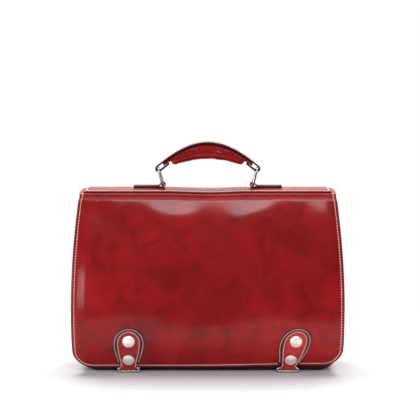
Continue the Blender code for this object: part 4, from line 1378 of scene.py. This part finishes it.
def build_mounts():
    """The loops that hold the handle's rings, each a strap folded round its ring and laid on itself."""
    low = MOUNT_SEAT + MOUNT_LAYER / 2
    high = low + MOUNT_LAYER + GAP
    path = [(MOUNT_TAIL_X + (MOUNT_X - MOUNT_TAIL_X) * t, low) for t in np.linspace(0, 0.95, 10)]
    for angle in np.radians(range(0, 181, 12)):
        path.append((MOUNT_X - MOUNT_BEND * math.sin(angle), MOUNT_BAR - MOUNT_BEND * math.cos(angle)))
    crest = path[-1][1]
    for share in np.linspace(0, 1, 9)[1:]:
        path.append((MOUNT_X + MOUNT_SETTLE * share, crest + (high - crest) * float(smooth(share))))
    tail = len(path)
    path += [(x, high) for x in np.linspace(MOUNT_X + MOUNT_SETTLE, MOUNT_TAIL_X, 10)[1:]]
    lines = []
    for name, sign in SIDES.items():
        stations = xz_stations([(sign * x, z) for x, z in path], STRAP_WIDTH, -sign)
        mount = band("handle_loop_" + name, stations, MOUNT_LAYER, [BRIGHT, PAINT, FLESH], STRAP_STITCH)
        fit(mount, ["handle_mount_" + name], "flap_top")
        lines += [station_line(stations[tail:], MOUNT_LAYER, edge) for edge in (-1, 1)]
    sew("handle_loop_thread", lines, FINE_STITCH, "flap_top")


def build_handle_rings():
    for name, sign in SIDES.items():
        up = Vector((sign * math.sin(RING_LEAN), 0.0, math.cos(RING_LEAN)))
        centre = Vector((sign * MOUNT_X, HANDLE_Y, MOUNT_BAR)) + up * RING_HEIGHT / 2
        shape = STRAP_WIDTH / 2 + RING_SIDE_CLEAR + RING_WIRE, RING_HEIGHT / 2, RING_CORNER, RING_WIRE
        wire_ring("handle_wire_" + name, "handle_ring_" + name, centre, ACROSS_Y, up, *shape)


def build_strap():
    """The strap over the grip, folded round each ring. Returns its stitches."""
    half = [(x, arch_height(x)) for x in np.linspace(0, END_X, ARCH_STEPS + 1)[:-1]]
    for angle in HANDLE_END_SLOPE + np.radians(range(0, 181, 12)):
        x = HANDLE_BAR_X + HANDLE_BEND * math.sin(angle)
        half.append((x, HANDLE_BAR_Z + HANDLE_BEND * math.cos(angle)))
    x, z = half[-1]
    for reach in (TAIL_REACH * share for share in (0.25, 0.5, 0.75, 1.0)):
        half.append((x - reach * math.cos(HANDLE_END_SLOPE), z + reach * math.sin(HANDLE_END_SLOPE)))
    stations = xz_stations([(-x, z) for x, z in half[:0:-1]] + half, STRAP_WIDTH)
    strap = band("handle_top_strap", stations, HANDLE_STRAP, [BRIGHT, PAINT, FLESH], STRAP_STITCH)
    fit(strap, ["handle_strap"], "handle")
    middle = len(half) - 1
    arch = stations[middle - ARCH_STEPS + 1 : middle + ARCH_STEPS]
    return [station_line(arch, HANDLE_STRAP, edge) for edge in (-1, 1)]


def under_strap(x):
    """The level of the strap's underside over a place along the handle."""
    return arch_height(x) - HANDLE_STRAP / 2 / math.cos(arch_slope(x))


def grip_size(x):
    """The grip's half width and half height."""
    share = (x / GRIP_HALF_LENGTH) ** 2
    height = GRIP_HEIGHT + (GRIP_END_HEIGHT - GRIP_HEIGHT) * share
    width = GRIP_WIDTH + (GRIP_END_WIDTH - GRIP_WIDTH) * share
    return width / 2, height / 2


def padding_section(x, shrink=1.0):
    """The middle, half width and half height of the grip, which ends in a wedge over the strap's tail."""
    taper = float(smooth((abs(x) - WEDGE_FROM) / (GRIP_HALF_LENGTH - WEDGE_FROM)))
    half_width, half_height = grip_size(min(abs(x), GRIP_HALF_LENGTH))
    height = (half_height * (1 - taper) + WEDGE_HEIGHT / 2 * taper) * shrink
    width = (half_width * (1 - taper) + WEDGE_WIDTH / 2 * taper) * shrink
    return under_strap(x) + STRAP_PRESS - height, width, height


def inflate(obj):
    """Fills a closed skin with air as cloth, keeping each point close to where it began."""
    cloth = obj.modifiers.new("cloth", "CLOTH")
    cloth.settings.use_pressure = True
    cloth.settings.uniform_pressure_force = GRIP_PRESSURE
    cloth.settings.effector_weights.gravity = 0.0
    cloth.settings.quality = 6
    scene = bpy.context.scene
    for number in range(1, GRIP_FRAMES + 1):
        scene.frame_set(number)
    blown = evaluated_mesh(obj)
    before, move = points_of(obj.data), points_of(blown) - points_of(obj.data)
    bpy.data.meshes.remove(blown)
    obj.modifiers.remove(cloth)
    scene.frame_set(1)
    length = np.linalg.norm(move, axis=1)
    share = smooth((WEDGE_FROM + FREE_FADE / 2 - np.abs(before[:, 0])) / FREE_FADE)
    share *= np.minimum(length, GRIP_SLACK) / np.maximum(length, 1e-9)
    place_points(obj, before + move * share[:, None])


def points_of(mesh):
    return np.array([v.co for v in mesh.vertices])


def place_points(obj, points):
    obj.data.vertices.foreach_set("co", points.astype(np.float32).ravel())
    obj.data.update()


def apply_modifiers(obj):
    mesh = evaluated_mesh(obj)
    obj.modifiers.clear()
    obj.data = mesh


SEAM_LEVEL = 0.34
SEAM_GROOVE = 0.0011
SEAM_RIDGE = 0.0007
PUCKERS = 27
PUCKER_DEPTH = 0.00055
PUCKER_FROM = 0.62
CRUMPLE = 0.0006
CRUMPLE_FROM = 0.3


def dress_grip(points):
    """Presses the seam under the strap into the filled grip, gathers its underside and crumples it."""
    x, y, z = points.T
    middle, half_width, half_height = np.array([padding_section(float(v)) for v in x]).T
    up, side = (z - middle) / half_height, (y - HANDLE_Y) / half_width
    level = (1 - up) / 2
    inside = smooth((WEDGE_FROM + FREE_FADE / 4 - np.abs(x)) / FREE_FADE)
    below = level - SEAM_LEVEL
    seam = SEAM_RIDGE * bell(below, 0.035) - SEAM_GROOVE * bell(below + 0.07, 0.055)
    wobble = x + 0.0010 * wander(x / 0.01, level * 3, 71.0)
    gather = np.cos(wobble * math.pi * PUCKERS / GRIP_HALF_LENGTH)
    gather *= smooth((level - PUCKER_FROM) / (1 - PUCKER_FROM))
    gather *= PUCKER_DEPTH * (0.6 + 0.8 * wander(x / 0.012, side, 77.0))
    crumple = CRUMPLE * wander(x / 0.010, y / 0.008 + z / 0.010, 83.0) * smooth((level - CRUMPLE_FROM) / 0.2)
    out = np.column_stack([np.zeros(len(x)), side, up])
    out /= np.maximum(np.linalg.norm(out, axis=1), 1e-9)[:, None]
    return points + out * ((seam + gather + crumple) * inside)[:, None]


def build_grip():
    """The padded grip: a plain skin, filled with air, rounded and dressed."""
    turns = [2 * math.pi * k / GRIP_SIDES for k in range(GRIP_SIDES)]
    ring = [(math.cos(turn), math.sin(turn)) for turn in turns]
    ring = [[math.copysign(abs(v) ** GRIP_SQUARENESS, v) for v in pair] for pair in ring]
    loops = []
    for x in np.linspace(-WEDGE_END, WEDGE_END, GRIP_LOOPS):
        middle, half_width, half_height = padding_section(x, GRIP_SHRINK)
        loops.append([(x, HANDLE_Y + half_width * c, middle + half_height * s) for c, s in ring])
    grip = loft("handle_padding", loops, [RED])
    remesh = grip.modifiers.new("skin", "REMESH")
    remesh.mode = "VOXEL"
    remesh.voxel_size = GRIP_VOXEL
    remesh.use_smooth_shade = True
    apply_modifiers(grip)
    inflate(grip)
    finer = grip.modifiers.new("round", "SUBSURF")
    finer.levels = finer.render_levels = 2
    apply_modifiers(grip)
    place_points(grip, dress_grip(points_of(grip.data)))
    grip.data.materials.clear()
    grip.data.materials.append(RED)
    grip.data.shade_smooth()
    fit(grip, ["handle_grip"], "handle")


def build_handle():
    build_mounts()
    build_handle_rings()
    lines = build_strap()
    build_grip()
    sew("handle_strap_thread", lines, FINE_STITCH, "handle")


def finish_frame_nodes():
    """The frame's own pieces that stay: each gets its finish."""
    for node, material in (("base_board", BOARD), ("handle_core", COTTON)):
        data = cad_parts[node].data
        data.materials.clear()
        data.materials.append(material)


# The studio -----------------------------------------------------------------------------------------------

CAMERA_PLACE = (0.0033, -2.0269, 0.4281)
CAMERA_TILT = math.radians(90 - 5.4)
CAMERA_LENS = 117.1
FLOOR_HALF = 0.9
FLOOR_NEAR = -0.62
FLOOR_FAR = 0.5
FLOOR_LEVEL = -0.0004
# Each lamp's place, what it points at, its size and its power
LAMPS = {
    "overhead": ((0.0, 0.45, 1.55), (0.0, 0.0, 0.1), (1.9, 0.9), 40.0),
    "front_high": ((0.1, -1.45, 1.10), (0.0, 0.0, 0.12), (1.7, 0.7), 7.5),
    "front_bar": ((0.25, -1.5, 0.72), (0.0, 0.0, 0.25), (1.1, 0.10), 5.0),
    "left_front": ((-1.15, -1.25, 0.30), (-0.19, -0.05, 0.12), (0.30, 0.60), 3.5),
    "left_strip": ((-0.56, -1.45, 0.07), (-0.19, -0.05, 0.13), (0.26, 0.18), 1.0),
    "left_card": ((-1.3, -0.5, 0.35), (0.0, 0.0, 0.12), (0.5, 0.9), 5.0),
    "right_card": ((1.4, -0.3, 0.4), (0.0, 0.0, 0.12), (0.5, 0.9), 2.5),
}


def build_camera():
    data = bpy.data.cameras.new("camera")
    data.lens = CAMERA_LENS
    camera = show("camera", data)
    camera.location = CAMERA_PLACE
    camera.rotation_euler = (CAMERA_TILT, 0.0, 0.0)
    bpy.context.scene.camera = camera


def area_light(name, place, target, size, power):
    data = bpy.data.lights.new(name, "AREA")
    data.shape = "RECTANGLE"
    data.size, data.size_y = size
    data.energy = power
    lamp = show(name, data)
    lamp.location = place
    lamp.rotation_euler = (Vector(target) - Vector(place)).to_track_quat("-Z", "Y").to_euler()


def build_floor():
    corners = [(-FLOOR_HALF, FLOOR_NEAR, 0), (FLOOR_HALF, FLOOR_NEAR, 0)]
    corners += [(FLOOR_HALF, FLOOR_FAR, 0), (-FLOOR_HALF, FLOOR_FAR, 0)]
    mesh = bpy.data.meshes.new("floor")
    mesh.from_pydata(corners, [], [(0, 1, 2, 3)])
    floor = show("floor", mesh)
    floor.location.z = FLOOR_LEVEL
    s = Shader("pale_floor", 0.85)
    tone = s.ramp(s.cloud(3.0), (0.3, (0.78, 0.78, 0.81)), (0.7, (0.80, 0.80, 0.83)))
    mesh.materials.append(s.set(Base_Color=tone, Specular_IOR_Level=0.1))


def build_world():
    """White where the camera looks; a bright backdrop and a dim room for everything else."""
    world = bpy.data.worlds.new("studio")
    bpy.context.scene.world = world
    world.use_nodes = True
    n = Nodes(world.node_tree)
    background = n.tree.nodes["Background"]
    direction = n.add("ShaderNodeTexCoord").outputs["Generated"]
    depth = n.add("ShaderNodeSeparateXYZ", {"Vector": direction}).outputs["Y"]
    room = n.ranged(depth, 0.05, 0.80, 0.06, 0.95)
    seen = n.add("ShaderNodeLightPath").outputs["Is Camera Ray"]
    n.feed(background.inputs["Color"], n.blend(seen, room, (1.0, 1.0, 1.0)))
    n.feed(background.inputs["Strength"], 1.0)


def build_studio():
    build_camera()
    build_floor()
    build_world()
    for name, lamp in LAMPS.items():
        area_light(name, *lamp)
    bpy.context.scene.view_settings.view_transform = "Standard"


build_studio()
build_flap()
build_flap_back()
build_lid()
build_panels()
build_gusset()
build_lining()
build_divider()
build_pocket()
build_closures()
build_handle()
finish_frame_nodes()
